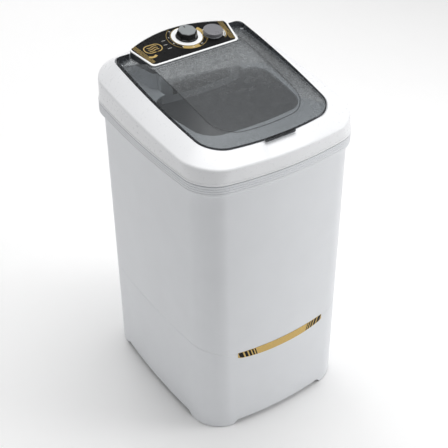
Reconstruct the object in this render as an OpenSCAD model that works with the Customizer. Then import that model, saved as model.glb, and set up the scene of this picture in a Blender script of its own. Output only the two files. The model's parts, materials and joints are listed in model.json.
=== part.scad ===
// Top-loading semi-automatic washer: moulded cabinet, deep tub with a floor agitator driven by a
// belt, moulded top cover with a smoked lid, and a tilted control island at the rear.
// Millimetres. +Z up, front of the machine towards -Y, origin on the floor under the middle.

/* [Overall] */
// Width over the top cover
cover_w = 532; // [490:1:640]
// Depth over the top cover
cover_d = 627; // [590:1:740]
// Height of the cabinet, to the seat of the top cover
body_h = 870; // [760:1:1040]
// How far each side swells between its corners
side_bow = 16.6; // [8:0.1:24]
// How far the front and the rear swell between their corners
front_bow = 31.8; // [16:0.1:40]
// Corner radius of the top cover
corner_r = 68; // [50:1:90]

/* [Cabinet] */
// Wall of the cabinet, the tub and the cover
wall = 3.2; // [2.4:0.1:5]
// How far the grooved lip stands out from the cabinet
lip = 11; // [6:0.5:16]
// Height of the grooved lip
lip_h = 28; // [18:1:40]
// How far the cabinet's edge is cut up between its corner feet
foot_cut = 16; // [8:1:24]
// Width of each corner foot
foot_w = 96; // [70:1:120]
// Forward lean of the cabinet, top to bottom
lean = 9; // [0:1:14]
// Height of the rubber feet under the corner plates
rubber_h = 4; // [2:0.5:8]
// Radius of a rubber foot
rubber_r = 15; // [10:0.5:18]

/* [Tub] */
// Height of the tub floor above the ground
tub_floor = 300; // [280:1:360]
// Gap between the tub and the cabinet at the top
tub_gap = 14; // [10:1:24]
// How far the tub draws in towards its floor
tub_draft = 14; // [6:1:24]
// Radius of the agitator
agitator_r = 165; // [120:1:175]
// Height of the agitator's vanes
vane_h = 26; // [12:1:40]

/* [Top cover and lid] */
// Height of the lid's front edge above the cabinet
lid_front_h = 67; // [55:1:80]
// Half width of the lid at its corners
lid_half_w = 199; // [180:1:215]
// Distance from the cover's front to the lid's front edge
lid_inset = 54; // [44:1:64]
// Thickness of the lid
lid_t = 3; // [2.5:0.1:4]
// Gap between the lid and the cover
lid_gap = 2.5; // [1.5:0.1:4]
// Rise of the lid's middle above its front edge
crown_h = 60; // [44:1:66]
// Radius of a hinge pin
hinge_r = 3; // [2:0.1:4]
// Running clearance of a hinge or spindle, on the radius
run_gap = 0.06; // [0.02:0.01:0.1]

/* [Control island] */
// Half width of the island at its front
island_front_w = 141; // [125:1:146]
// Half width of the island at its rear
island_rear_w = 157; // [150:1:160]
// Tilt of the island's face
tilt = 8; // [4:0.5:12]
// Width of the white trim
trim_w = 6; // [4:0.5:9]
// Radius of the timer knob
knob_r = 30.5; // [24:0.5:34]
// Height of the timer knob
knob_h = 21; // [16:0.5:26]
// Sideways place of the timer
timer_x = 17; // [0:1:24]
// Radius of the softener cap
cap_r = 28; // [20:0.5:28.5]
// Sideways place of the softener cap
cap_x = 91; // [86:1:100]
// Half width of the lint filter housing
filter_w = 127; // [110:1:130]

/* [Drive] */
// Radius of the drive shaft
shaft_r = 6; // [5:0.5:8]
// Outer radius of the shaft bearings
bearing_r = 16; // [14:0.5:20]
// Outer radius of the driven pulley
driven_r = 115; // [90:1:120]
// Outer radius of the motor pulley
driver_r = 31; // [24:1:36]
// Distance from the drive shaft to the motor shaft
motor_offset = 185; // [172:1:195]
// Outer radius of the motor
motor_r = 70; // [60:1:74]
// Height of the motor's steel core
motor_h = 90; // [70:1:100]
// Outer radius of the drain outlet
outlet_r = 14; // [10:0.5:18]
// Free length of the drain outlet
outlet_l = 22; // [16:1:24]

/* [Hidden] */
$fn = 64;
eps = 0.01;
far = 900;
arc_n = 6;
side_n = 6;
end_n = 3;

// Outline of the cover at its seat, and what follows it
seat_a = cover_w / 2 - side_bow;
seat_b = cover_d / 2 - front_bow;
lip_top = body_h;
lip_bottom = body_h - lip_h;
rim_t = 3;
seat_z = body_h + rim_t;
crease_h = 63.4;
crease_slope = 0.057;

// Lid planes: outer rim, floor beside the crown, and the crown itself
lid_front_z = body_h + lid_front_h;
lid_front_y = -cover_d / 2 + lid_inset;
lid_rear_y = cover_d / 2 - 97.5;
lid_bow = 24;
lid_mid_y = (lid_rear_y + lid_front_y + lid_bow) / 2;
lid_b = (lid_rear_y - lid_front_y - lid_bow) / 2;
rim_slope = 0.131;
floor_slope = 0.097;
island_front_y = cover_d / 2 - 192;
island_rear_y = cover_d / 2 - 91.5;
island_rear_bow = 32;
crown_depth = island_front_y - lid_front_y;
crease_half_w = 142;
lid_front_r = 56;
lid_rear_r = 18;

function rim_z(y) = lid_front_z + rim_slope * (y - lid_front_y);
function floor_z(y) = lid_front_z + floor_slope * (y - lid_front_y);
function seat_edge_z(y) = lid_front_z - 1 + 0.119 * (y - lid_front_y);
function crease_z(y) = body_h + crease_h + crease_slope * y;
function crown_z(y) = lid_front_z + crown_h
    * (1 - pow(min(1, max(0, island_front_y - y) / crown_depth), 1.4));

// Heights that the control island and the wash opening share
deck_z = lid_front_z - 12;
island_z = lid_front_z + 36;
island_top_z = lid_front_z + crown_h;
opening_rear_y = island_front_y - 38;
opening_front_y = lid_front_y + 100;
hinge_y = lid_rear_y - 22;
hinge_z = floor_z(hinge_y) - 1;
hinge_wall_x = lid_half_w * 1.025 + lid_gap;

// Drive train
drive_y = -20;
motor_y = drive_y + motor_offset;
tub_under = tub_floor - wall - 1;
belt_z = 92;
belt_h = 9;
belt_w = 12;
pulley_h = 22;
drop_bracket = 24;
motor_top = tub_under - drop_bracket - 8;
core_top = motor_top - 30;
core_bottom = core_top - motor_h;
rotor_r = motor_r * 0.55;
air_gap = 0.5;
motor_shaft_r = 6;
housing_bottom = belt_z + pulley_h / 2 + 26;
drain_x = 142;
drain_y = 150;
drain_z = 90;
rear_wall_y = 280;
outlet_in = rear_wall_y - 40;
bend_r = 34;

// Fittings
timer_y = island_front_y + 80;
cap_y = island_front_y + 61;
face_drop = 1.6;
fascia_t = 2.4;
face_under = -face_drop - fascia_t;
foot_x = seat_a - lip - 34;
foot_y = seat_b - 46;
foot_plate = 4;
plate_z = rubber_h + 0.2;
tray_z = 20;
tray_t = 3;
bracket_x = 62;
bracket_y = 44;
seal_r = 20;
strainer_r = 20;
cover_screw_x = 150;
cover_screw_y = seat_b - 1;
hinge_boss_r = 6;
pin_end = 7;
swing_room = 7;
finger_w = 47;
cup_r = cap_r - 3;
spindle_r = 3;
cup_depth = 30;
housing_front = island_front_y - 27;
housing_low = deck_z - 41;
window_w = 93;
window_z = housing_low + 23;
window_h = 35;
seat_h = 12;
loom_x = -60;
loom_r = 3.5;
loom_z = deck_z - wall - 12;
motor_z = 200;
badge_w = 147;
badge_h = 26;
badge_t = 0.8;
badge_z = 283;
tail_drop = 27;
bolt_x = (motor_r - 10) * 0.7071;
bracket_z = core_top + 19;
bracket_t = 3;
boss_end = tub_under - 20;
cap_can_r = 19;
cap_can_x = -120;
tube_r = strainer_r - 3.1;
clip_h = 12;
loom_y = cabinet_rear(loom_x, 0) - wall - 1 - loom_r;

function lerp(p, q, t) = p + (q - p) * t;

// Right half of a rounded rectangle, front to rear, with corner radius r in front and q behind
function half_outline(a, b, r, q) = concat(
    [for (i = [0 : end_n - 1]) [(a - r) * i / end_n, -b]],
    [for (i = [0 : arc_n]) [a - r + r * sin(90 * i / arc_n), -b + r - r * cos(90 * i / arc_n)]],
    [for (i = [1 : side_n - 1]) [a, lerp(-b + r, b - q, i / side_n)]],
    [for (i = [0 : arc_n]) [a - q + q * cos(90 * i / arc_n), b - q + q * sin(90 * i / arc_n)]],
    [for (i = [1 : end_n]) [(a - q) * (1 - i / end_n), b]]
);
function swell(p, a, b, side, front, rear, taper) = [
    (p.x + side * (1 - pow(p.y / b, 2)) * p.x / a) * (1 + taper * p.y / b),
    p.y + sign(p.y) * (p.y < 0 ? front : rear) * (1 - pow(p.x / a, 2)) * abs(p.y) / b
];
// Whole outline, counter-clockwise from the middle of the front
function outline(a, b, r, side, front, rear, taper = 0, dy = 0, q = -1) = let (
    h = [for (p = half_outline(a, b, r, q < 0 ? r : q)) swell(p, a, b, side, front, rear, taper) + [0, dy]]
) concat(h, [for (i = [len(h) - 2 : -1 : 1]) [-h[i].x, h[i].y]]);
function lift(pts, z) = [for (p = pts) [p.x, p.y, z]];

function seat_outline(inset) =
    outline(seat_a - inset, seat_b - inset, corner_r - inset, side_bow, front_bow, front_bow);
function crease_outline(inset) = outline(
    seat_a + 4.5 - inset, seat_b - 1 - inset, corner_r + 20 - inset,
    side_bow - 5, front_bow + 1, front_bow + 1
);
function lid_outline(inset) = outline(
    lid_half_w - inset, lid_b - inset, lid_front_r - inset, 9, lid_bow, 0, 0.025, lid_mid_y,
    lid_rear_r - inset
);
function crown_outline() = outline(
    crease_half_w, lid_b - 22, 62, 2, 16, 0, 0.03, lid_mid_y + 14
);
function opening_outline(inset) = outline(
    164 - inset, (opening_rear_y - opening_front_y) / 2 - inset, 46, 8, 14, 0, 0.07,
    (opening_rear_y + opening_front_y) / 2
);
// Cabinet section at a height, drawn in by an inset
function cabinet_section(z, inset) = let (t = z / lip_bottom) outline(
    seat_a - lip - 2.6 * (1 - t) - inset, seat_b - 9 - inset, lerp(corner_r + 2, corner_r - 6, t) - inset,
    side_bow, front_bow - 4.5 * (1 - t), front_bow - 14, 0, -3 - lean * (1 - t)
);
function tub_section(t, inset) = outline(
    seat_a - lip - tub_gap - tub_draft * (1 - t) - inset, seat_b - 34 - tub_draft * (1 - t) - inset,
    corner_r + 8 - inset, side_bow - 2, front_bow - 10, front_bow - 14, 0, -4
);
// The island's plan: straight front, tapered sides, rear swelling back
function island_half(inset, r = 14) = let (
    f = island_front_w - inset, b = island_rear_w - inset,
    y0 = island_front_y + inset, y1 = island_rear_y - inset, q = r - inset / 2
) concat(
    [[0, y0]],
    [for (i = [0 : 4]) [f - q + q * sin(22.5 * i), y0 + q - q * cos(22.5 * i)]],
    [for (i = [0 : 4]) [b - q + q * cos(22.5 * i), y1 - q + q * sin(22.5 * i)]],
    [for (i = [1 : 8]) [(b - q) * (1 - i / 8), y1 + island_rear_bow * (1 - pow(1 - i / 8, 2))]]
);
function island_plan(inset) = let (h = island_half(inset))
    concat(h, [for (i = [len(h) - 2 : -1 : 1]) [-h[i].x, h[i].y]]);

// Closed skin through a list of rings; a tube when the last ring joins the first
function ring_faces(n, i, k) = [
    for (j = [0 : n - 1]) let (m = (j + 1) % n) each [
        [i * n + j, k * n + j, k * n + m],
        [i * n + j, k * n + m, i * n + m]
    ]
];
// Triangles across a ring, joining each point to its mirror image
function cap_faces(n, first, up) = [
    for (j = [0 : n / 2 - 1]) let (p = n - j - 1, q = (n - j) % n) each [
        if (p != j + 1) up ? [first + p, first + j + 1, first + j] : [first + j, first + j + 1, first + p],
        if (j != 0) up ? [first + q, first + p, first + j] : [first + j, first + p, first + q]
    ]
];
module tube_loft(rings) {
    n = len(rings[0]);
    m = len(rings);
    polyhedron([for (r = rings) each r], [for (i = [0 : m - 1]) each ring_faces(n, i, (i + 1) % m)]);
}
module solid_loft(rings) {
    n = len(rings[0]);
    m = len(rings);
    polyhedron([for (r = rings) each r], concat(
        [for (i = [0 : m - 2]) each ring_faces(n, i, i + 1)],
        cap_faces(n, 0, false), cap_faces(n, (m - 1) * n, true)
    ));
}
module prism(pts, z0, z1) {
    translate([0, 0, z0]) linear_extrude(z1 - z0) polygon(pts);
}
module ring(r_out, r_in, z0, z1) {
    translate([0, 0, z0]) difference() {
        cylinder(r = r_out, h = z1 - z0);
        translate([0, 0, -1]) cylinder(r = r_in, h = z1 - z0 + 2);
    }
}
module rod(r, z0, z1) {
    translate([0, 0, z0]) cylinder(r = r, h = z1 - z0);
}
module four(x, y, cy = 0) {
    for (sx = [-1, 1], sy = [-1, 1]) translate([sx * x, cy + sy * y, 0]) children();
}
// A screw standing head up, its head seated at z
module screw(r, head_r, z, length) {
    rod(r, z - length, z + eps);
    translate([0, 0, z]) difference() {
        cylinder(r1 = head_r, r2 = head_r * 0.7, h = head_r * 0.7);
        for (a = [0, 90]) rotate(a) translate([-head_r * 0.5, -0.5, head_r * 0.4])
            cube([head_r, 1, head_r]);
    }
}
// The island's tilted face: z = 0 is the top of the trim, y as in the machine
module on_face() {
    translate([0, island_front_y, island_top_z]) rotate([tilt, 0, 0]) translate([0, -island_front_y, 0])
        children();
}
module above_face(z) {
    on_face() translate([-far / 2, -far / 2, z]) cube([far, far, far / 2]);
}

module foot_archway(span, reach) {
    rotate([90, 0, 0]) translate([0, 0, -reach]) linear_extrude(2 * reach) polygon([
        [-span / 2 - 5, -1], [span / 2 + 5, -1], [span / 2 - 5, foot_cut], [-span / 2 + 5, foot_cut]
    ]);
}
module cabinet() color("whitesmoke") {
    difference() {
        union() {
            tube_loft([
                lift(cabinet_section(0, 0), 2),
                lift(cabinet_section(lip_bottom - 6, 0), lip_bottom - 6),
                lift(seat_outline(0), lip_bottom),
                lift(seat_outline(0), lip_top),
                lift(seat_outline(wall), lip_top),
                lift(seat_outline(wall), lip_bottom + wall),
                lift(cabinet_section(lip_bottom, wall), lip_bottom - 6),
                lift(cabinet_section(0, wall), 2)
            ]);
            intersection() {
                prism(cabinet_section(60, wall - 1), plate_z, tray_z);
                four(foot_x, foot_y, -3 - lean) union() {
                    translate([-48, -52, 0]) cube([96, 104, plate_z + foot_plate]);
                    rod(8, plate_z, tray_z);
                }
            }
        }
        foot_archway(2 * (seat_a - foot_w), far);
        rotate(90) foot_archway(2 * (seat_b - foot_w), far);
        four(foot_x, foot_y, -3 - lean) rod(2.2, tray_z - 10, tray_z + 1);
        four(foot_x, foot_y - 24, -3 - lean) rod(5.1, 0, plate_z + foot_plate + 1);
        translate([drain_x, 0, drain_z]) rotate([-90, 0, 0]) rod(outlet_r + 2.6, 200, far / 2);
        translate([-drain_x, 0, drain_z]) rotate([-90, 0, 0]) rod(9.2, 200, far / 2);
    }
}
module rubber_feet() color("dimgray") {
    four(foot_x, foot_y - 24, -3 - lean) {
        rod(rubber_r, 0, rubber_h);
        rod(5, rubber_h - eps, plate_z + foot_plate + 0.2);
        translate([0, 0, plate_z + foot_plate + 0.2]) cylinder(r1 = 7.5, r2 = 4, h = 4);
    }
}
module base_tray() color("gainsboro") {
    difference() {
        prism(cabinet_section(tray_z, wall + 1.2), tray_z, tray_z + tray_t);
        for (i = [-4 : 4]) translate([i * 22 - 5, motor_y - 90, tray_z - 1]) cube([10, 120, tray_t + 2]);
        four(foot_x, foot_y, -3 - lean) rod(2.2, tray_z - 1, tray_z + tray_t + 1);
    }
}
module base_screws() color("silver") {
    four(foot_x, foot_y, -3 - lean) screw(2, 5, tray_z + tray_t, 12);
}
module wash_tub() color("gainsboro") {
    difference() {
        union() {
            solid_loft([
                lift(tub_section(0, 40), tub_under),
                lift(tub_section(0, 12), tub_under + 10),
                lift(tub_section(0, 0), tub_under + 36),
                lift(tub_section(1, 0), lip_top + rim_t)
            ]);
            prism(seat_outline(1.2), lip_top, lip_top + rim_t);
            translate([0, drive_y, 0]) for (a = [45 : 90 : 315]) rotate(a) translate([44, 0, 0])
                rod(7, tub_under - 8, tub_under + 1);
            translate([0, motor_y, 0]) four(bracket_x, bracket_y) rod(8, tub_under - 20, tub_under + 1);
        }
        solid_loft([
            lift(tub_section(0, 40 + wall), tub_floor),
            lift(tub_section(0, 12 + wall), tub_floor + 10),
            lift(tub_section(0, wall), tub_floor + 36),
            lift(tub_section(1, wall), lip_top + rim_t + 1)
        ]);
        translate([0, drive_y, 0]) {
            rod(seal_r, 0, far);
            for (a = [45 : 90 : 315]) rotate(a) translate([44, 0, 0])
                rod(2.2, tub_under - 9, tub_under - 1);
        }
        translate([0, motor_y, 0]) four(bracket_x, bracket_y) rod(2.7, tub_under - 21, tub_under - 2);
        translate([drain_x, drain_y, 0]) rod(strainer_r + 0.1, 0, far);
        translate([loom_x, loom_y, 0]) rod(loom_r + 1, lip_top - 1, seat_z + 1);
        four(cover_screw_x, cover_screw_y) rod(2.2, lip_top - 1, seat_z + 1);
    }
}

module island_pocket() {
    prism(island_plan(6), deck_z, far * 2);
    prism(island_plan(1), deck_z, island_z);
    prism(island_plan(-0.5), island_z, far * 2);
}
module top_cover() color("white") {
    difference() {
        union() {
            difference() {
                tube_loft([
                    lift(seat_outline(0), seat_z),
                    [for (p = crease_outline(0)) [p.x, p.y, crease_z(p.y)]],
                    [for (p = lid_outline(-lid_gap)) [p.x, p.y + rear_room(p), seat_edge_z(p.y)]],
                    [for (p = lid_outline(-lid_gap + 0.5)) [p.x, p.y + rear_room(p), ledge_z(p.y)]],
                    [for (p = lid_outline(9)) [p.x, p.y, ledge_z(p.y)]],
                    lift(lid_outline(11), deck_z),
                    lift(opening_outline(0), deck_z),
                    lift(opening_outline(0), deck_z - wall),
                    lift(lid_outline(11 - wall), deck_z - wall),
                    [for (p = lid_outline(9 - wall)) [p.x, p.y, ledge_z(p.y) - wall]],
                    [for (p = lid_outline(-lid_gap - wall)) [p.x, p.y + rear_room(p), ledge_z(p.y) - wall]],
                    [for (p = lid_outline(-lid_gap - wall - 1))
                        [p.x, p.y + rear_room(p), seat_edge_z(p.y) - wall - 1]],
                    [for (p = crease_outline(wall)) [p.x, p.y, crease_z(p.y) - wall]],
                    lift(seat_outline(wall), seat_z)
                ]);
                island_pocket();
            }
            difference() {
                prism(island_plan(0), deck_z - wall, island_z);
                prism(island_plan(6), deck_z, far * 2);
            }
            intersection() {
                cover_envelope();
                union() {
                    for (s = [-1, 1]) hinge_post(s);
                    four(cover_screw_x, cover_screw_y) rod(7, seat_z, body_h + far);
                }
            }
        }
        for (s = [-1, 1]) {
            hinge_pocket(s);
            hinge_axis(s) rod(hinge_r, -8, pin_end);
        }
        filter_notch();
        four(cover_screw_x, cover_screw_y) rod(2.2, seat_z - 1, seat_z + 18);
        on_face() translate([cap_x, cap_y, 0]) rod(7.2, -far / 4, 0);
    }
}
// The ledge under the lid's rim drops away behind the hinge, where the lid's tail swings down
function ledge_z(y) = floor_z(y) - lid_t - 0.4 - tail_drop * max(0, min(1, (y - hinge_y + 20) / 12));
// Extra room behind the lid's rear corners for their swing
function rear_room(p) = swing_room * max(0, min(1, (p.y - lid_rear_y + 40) / 40));
module hinge_axis(s) {
    translate([s * hinge_wall_x, hinge_y, hinge_z]) rotate([0, s * 90, 0]) children();
}
// Block behind the well wall that holds one hinge pin
module hinge_post(s) {
    hinge_axis(s) translate([-6, -8, 0]) cube([14, 16, 8]);
}
// Room in the ledge for the lid's hinge boss
module hinge_pocket(s) {
    hinge_axis(s) rod(hinge_boss_r + 0.8, -lid_gap - 12, 0.3);
}
// The space that the cover's outer skin encloses, a little inside it
module cover_envelope() {
    solid_loft([
        lift(seat_outline(1), seat_z),
        [for (p = crease_outline(1)) [p.x, p.y, crease_z(p.y) - 1]],
        [for (p = lid_outline(-lid_gap - 1)) [p.x, p.y + rear_room(p), seat_edge_z(p.y) - 1]]
    ]);
}
module filter_notch() {
    translate([-filter_w - 1.5, opening_rear_y - 30, deck_z - wall - 1])
        cube([2 * filter_w + 3, island_front_y - opening_rear_y + 30, wall + 2]);
}
module cover_screws() color("silver") {
    four(cover_screw_x, cover_screw_y) mirror([0, 0, 1]) screw(2, 5, -lip_top, 18);
}
module lid() color("dimgray") {
    difference() {
        union() {
            solid_loft([
                [for (p = crown_outline()) [p.x, p.y, crown_z(p.y) - lid_t]],
                [for (p = lid_outline(0)) [p.x, p.y, floor_z(p.y) - lid_t]],
                [for (p = lid_outline(0)) [p.x, p.y, rim_z(p.y)]],
                [for (p = lid_outline(3)) [p.x, p.y, rim_z(p.y)]],
                [for (p = lid_outline(4)) [p.x, p.y, floor_z(p.y)]],
                [for (p = crown_outline()) [p.x, p.y, crown_z(p.y)]]
            ]);
            for (s = [-1, 1]) hinge_axis(s) rod(hinge_boss_r, -lid_gap - 9, -lid_gap - 1);
            translate([-finger_w, lid_front_y - 9, lid_front_z - 0.5]) cube([2 * finger_w, 14, 3]);
        }
        prism(island_plan(-3.5), 0, far * 2);
        prism(tail_cut(), 0, far * 2);
        for (s = [-1, 1]) hinge_axis(s) {
            rod(hinge_r + run_gap, -30, 1);
            rod(hinge_r + 2, -lid_gap - 14, -lid_gap - 9.2);
        }
    }
}
// Extra width of the lid's cut-out beside the island, for the swing past it
function tail_cut() = let (x = island_rear_w + 1.5, y = hinge_y - 33) [
    [-x, y], [-island_front_w, island_front_y + 12], [island_front_w, island_front_y + 12],
    [x, y], [x, far], [-x, far]
];
module hinge_pins() color("gray") {
    for (s = [-1, 1]) hinge_axis(s) {
        rod(hinge_r, -lid_gap - 9.5, pin_end);
        rod(hinge_r + 1.5, -lid_gap - 11.5, -lid_gap - 9.5);
    }
}
module island_housing() color("darkslategray") {
    difference() {
        prism(island_plan(0), island_z, island_top_z + 40);
        prism(island_plan(3), island_z - 1, island_top_z + 40);
        above_face(-3);
    }
    intersection() {
        difference() {
            prism(island_plan(2.9), island_z, island_top_z + 40);
            prism(island_plan(trim_w + 4), island_z - 1, island_top_z + 41);
            above_face(face_under);
        }
        above_face(face_under - 4);
    }
}
module island_trim() color("white") {
    difference() {
        intersection() {
            prism(island_plan(0.2), island_z, island_top_z + 40);
            above_face(-3);
        }
        prism(island_plan(trim_w), island_z, island_top_z + 41);
        above_face(0);
    }
}
module island_fascia() color("black") {
    difference() {
        intersection() {
            prism(island_plan(trim_w + 0.2), island_z, island_top_z + 40);
            above_face(face_under);
        }
        above_face(-face_drop);
        on_face() {
            translate([timer_x, timer_y, -20]) cylinder(r = 6, h = 30);
            translate([cap_x, cap_y, -20]) cylinder(r = cup_r + 0.2, h = 30);
        }
    }
}
module dial_ring() color("white") {
    on_face() translate([timer_x, timer_y, 0]) ring(44, knob_r + 1, -face_drop, -face_drop + 0.8);
}
module timer_knob() color("black") {
    on_face() translate([timer_x, timer_y, 0]) difference() {
        union() {
            rod(knob_r, -face_drop + 0.5, 3);
            translate([0, 0, 3]) cylinder(r1 = knob_r - 1, r2 = knob_r - 5, h = 6);
            rod(knob_r * 0.82, 9 - eps, knob_h - 2);
        }
        rod(spindle_r, -5, knob_h - 6);
        translate([0, 0, knob_h - 2.6]) cylinder(r = knob_r * 0.75, h = 5);
    }
}
module knob_insert() color("gray") {
    on_face() translate([timer_x, timer_y, 0]) {
        rod(knob_r * 0.73, knob_h - 2.6, knob_h - 0.6);
        translate([-1.5, knob_r * 0.3, knob_h - 0.6 - eps]) cube([3, knob_r * 0.28, 0.6]);
    }
}
module timer_case() color("lightgray") {
    on_face() translate([timer_x, timer_y, 0]) difference() {
        union() {
            rod(27, face_under - 36, face_under - 6);
            for (s = [-1, 1]) translate([s * 33, 0, 0]) rod(5, face_under - 12, face_under);
            translate([-36, -6, face_under - 12]) cube([72, 12, 3]);
        }
        rod(spindle_r + run_gap, face_under - 30, face_under);
        for (s = [-1, 1]) translate([s * 33, 0, 0]) rod(1.6, face_under - 14, face_under - 3);
    }
}
module timer_spindle() color("silver") {
    on_face() translate([timer_x, timer_y, 0]) rod(spindle_r, face_under - 28, knob_h - 6);
}
module timer_screws() color("silver") {
    on_face() for (s = [-1, 1]) translate([timer_x + s * 33, timer_y, 0])
        mirror([0, 0, 1]) screw(1.5, 3.4, -face_under + 12, 8);
}
module softener_cap() color("gray") {
    on_face() translate([cap_x, cap_y, 0]) {
        difference() {
            rod(cap_r, 1.2, 11);
            rod(cap_r - 2, 1, 9);
        }
        ring(cup_r - 1.9, cup_r - 3.6, -6, 9 + eps);
    }
}
module softener_cup() color("white") {
    on_face() translate([cap_x, cap_y, 0]) difference() {
        union() {
            rod(cup_r, -cup_depth, 1);
            ring(cap_r, cup_r - eps, -face_drop, 1);
            rod(7, -cup_depth - 34, -cup_depth + 1);
        }
        rod(cup_r - 1.6, -cup_depth + 2, 2);
        rod(5, -cup_depth - 36, -cup_depth + 3);
    }
}

// Plan of the filter housing: front bowed out towards the tub
function bowed_front(half_w, y, bow, back) = concat(
    [for (i = [-8 : 8]) [half_w * i / 8, y + bow * pow(i / 8, 2)]], [[half_w, back], [-half_w, back]]
);
module along_x(half_w) {
    rotate([90, 0, 90]) translate([0, 0, -half_w]) linear_extrude(2 * half_w) children();
}
module filter_housing() color("lightgray") {
    back = island_front_y;
    roll = back - housing_front - 3;
    top = island_z - 1;
    difference() {
        intersection() {
            prism(bowed_front(filter_w, housing_front, 11, back), housing_low, top);
            along_x(filter_w + 1) polygon(concat(
                [[back, housing_low], [housing_front - 1, housing_low]],
                [for (i = [0 : 6])
                    [housing_front - 1 + (roll + 4) * (1 - cos(15 * i)), top - 24 + 24 * sin(15 * i)]]
            ));
        }
        prism(bowed_front(filter_w - 3, housing_front + 3, 11, back - 3), housing_low + 3, top - 20);
        translate([-window_w, housing_front - 5, window_z]) cube([2 * window_w, 20, window_h]);
        for (s = [-1, 1]) translate([s * 60 - 20, housing_front + 14, housing_low - 1]) cube([40, 8, 6]);
    }
}
module filter_cassette() color("#3c4043") {
    difference() {
        intersection() {
            prism(bowed_front(window_w - 0.8, housing_front - 1.5, 11 * pow(window_w / filter_w, 2),
                housing_front + 22), window_z, window_z + window_h);
            translate([-far / 2, housing_front - 5, window_z + 0.4]) cube([far, 20, window_h - 0.8]);
        }
        translate([-window_w + 4, housing_front + 9, window_z + 4])
            cube([2 * window_w - 8, 20, window_h - 8]);
        translate([-window_w + 16, housing_front + 0.5, window_z + 8])
            cube([2 * window_w - 32, 20, window_h - 16]);
    }
}
module filter_mesh() color("white") {
    translate([-window_w + 4, housing_front + 12, window_z + 4])
        difference() {
            cube([2 * window_w - 8, 1.2, window_h - 8]);
            for (i = [1 : 13]) translate([i * 13 - 4, -1, 3]) cube([8, 4, window_h - 14]);
        }
}

module agitator() color("aliceblue") {
    translate([0, drive_y, 0]) difference() {
        union() {
            rotate_extrude($fn = 96) polygon([
                [0, tub_floor + 6], [agitator_r - 8, tub_floor + 3], [agitator_r, tub_floor + 5],
                [agitator_r, tub_floor + 9], [agitator_r - 6, tub_floor + 11], [48, tub_floor + 15],
                [34, tub_floor + 36], [0, tub_floor + 40]
            ]);
            for (a = [0 : 60 : 300]) rotate(a) translate([30, 0, tub_floor + 8]) rotate([90, 0, 0])
                translate([0, 0, -6]) linear_extrude(12) polygon([
                    [0, 0], [agitator_r - 46, 0], [agitator_r - 50, 6],
                    [agitator_r * 0.42, vane_h], [0, vane_h]
                ]);
        }
        rod(shaft_r, tub_floor, tub_floor + 30);
        rod(2.5, tub_floor, far);
        rod(7, tub_floor + 36, far);
    }
}
module agitator_screw() color("silver") {
    translate([0, drive_y, 0]) {
        rod(2.4, tub_floor + 18, tub_floor + 36 + eps);
        ring(6.5, 2.4 - eps, tub_floor + 36, tub_floor + 39);
        rod(2.5, tub_floor + 36, tub_floor + 38);
    }
}
module drive_shaft() color("silver") {
    translate([0, drive_y, 0]) difference() {
        rod(shaft_r, belt_z - pulley_h / 2 - 14, tub_floor + 30);
        rod(2.4, tub_floor + 18, tub_floor + 31);
    }
}
module shaft_seal() color("black") {
    translate([0, drive_y, 0]) ring(seal_r, shaft_r + run_gap, tub_floor - 8, tub_floor + 1);
}
module bearing_housing() color("slategray") {
    translate([0, drive_y, 0]) difference() {
        union() {
            rod(54, tub_under - 14, tub_under - 8);
            rod(bearing_r + 5, housing_bottom, tub_under - 8);
            rod(seal_r, tub_under - 8 - eps, tub_floor - 8);
            for (a = [0 : 90 : 270]) rotate(a) translate([0, -2, housing_bottom + 20]) cube([44, 4, 120]);
        }
        rod(shaft_r + 2, 0, far);
        rod(bearing_r, 0, housing_bottom + seat_h);
        rod(bearing_r, tub_under - 14 - seat_h, tub_floor - 12);
        for (a = [45 : 90 : 315]) rotate(a) translate([44, 0, 0]) rod(2.2, 0, far);
    }
}
module bearing(z) {
    translate([0, drive_y, 0]) {
        difference() {
            ring(bearing_r, shaft_r + run_gap, z, z + seat_h - 2);
            for (e = [-1, 1]) translate([0, 0, z + (e > 0 ? seat_h - 2.8 : -0.2)])
                ring(bearing_r - 3, shaft_r + 3, 0, 1);
        }
    }
}
module upper_bearing() color("silver") bearing(tub_under - 14 - seat_h + 1);
module lower_bearing() color("silver") bearing(housing_bottom + 1);
module housing_screws() color("silver") {
    translate([0, drive_y, 0]) for (a = [45 : 90 : 315]) rotate(a) translate([44, 0, 0])
        mirror([0, 0, 1]) screw(2.1, 5, -tub_under + 14, 12);
}
function pulley_profile(r, bore, z) = [
    [bore, z - pulley_h / 2], [bore + 8, z - pulley_h / 2], [bore + 8, z - 5], [r - 14, z - 5],
    [r - 14, z - 9], [r, z - 9], [r, z - 8], [r - 10, z - 5], [r - 10, z + 5], [r, z + 8], [r, z + 9],
    [r - 14, z + 9], [r - 14, z + 5], [bore + 8, z + 5],
    [bore + 8, z + pulley_h / 2], [bore, z + pulley_h / 2]
];
module driven_pulley() color("lightgray") {
    translate([0, drive_y, 0]) difference() {
        rotate_extrude($fn = 96) polygon(pulley_profile(driven_r, shaft_r, belt_z));
        for (a = [0 : 60 : 300]) rotate(a) translate([driven_r * 0.52, 0, 0])
            rod(driven_r * 0.18, 0, belt_z + 40);
    }
}
module pulley_nut() color("silver") {
    translate([0, drive_y, 0]) difference() {
        translate([0, 0, belt_z - pulley_h / 2 - 8]) cylinder(r = 11, h = 8, $fn = 6);
        rod(shaft_r, 0, far);
    }
}
module belt_loop(extra) {
    hull() {
        translate([0, drive_y]) circle(r = driven_r - 9.6 + extra);
        translate([0, motor_y]) circle(r = driver_r - 9.6 + extra);
    }
}
module drive_belt() color("black") {
    translate([0, 0, belt_z - belt_h / 2]) linear_extrude(belt_h) difference() {
        belt_loop(belt_w - 4);
        belt_loop(0);
    }
}
module motor_pulley() color("slategray") {
    translate([0, motor_y, 0]) rotate_extrude() polygon(pulley_profile(driver_r, motor_shaft_r, belt_z));
}
module motor_shaft() color("silver") {
    translate([0, motor_y, 0]) rod(motor_shaft_r, belt_z - pulley_h / 2 - 2, core_top + 22);
}
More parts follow.
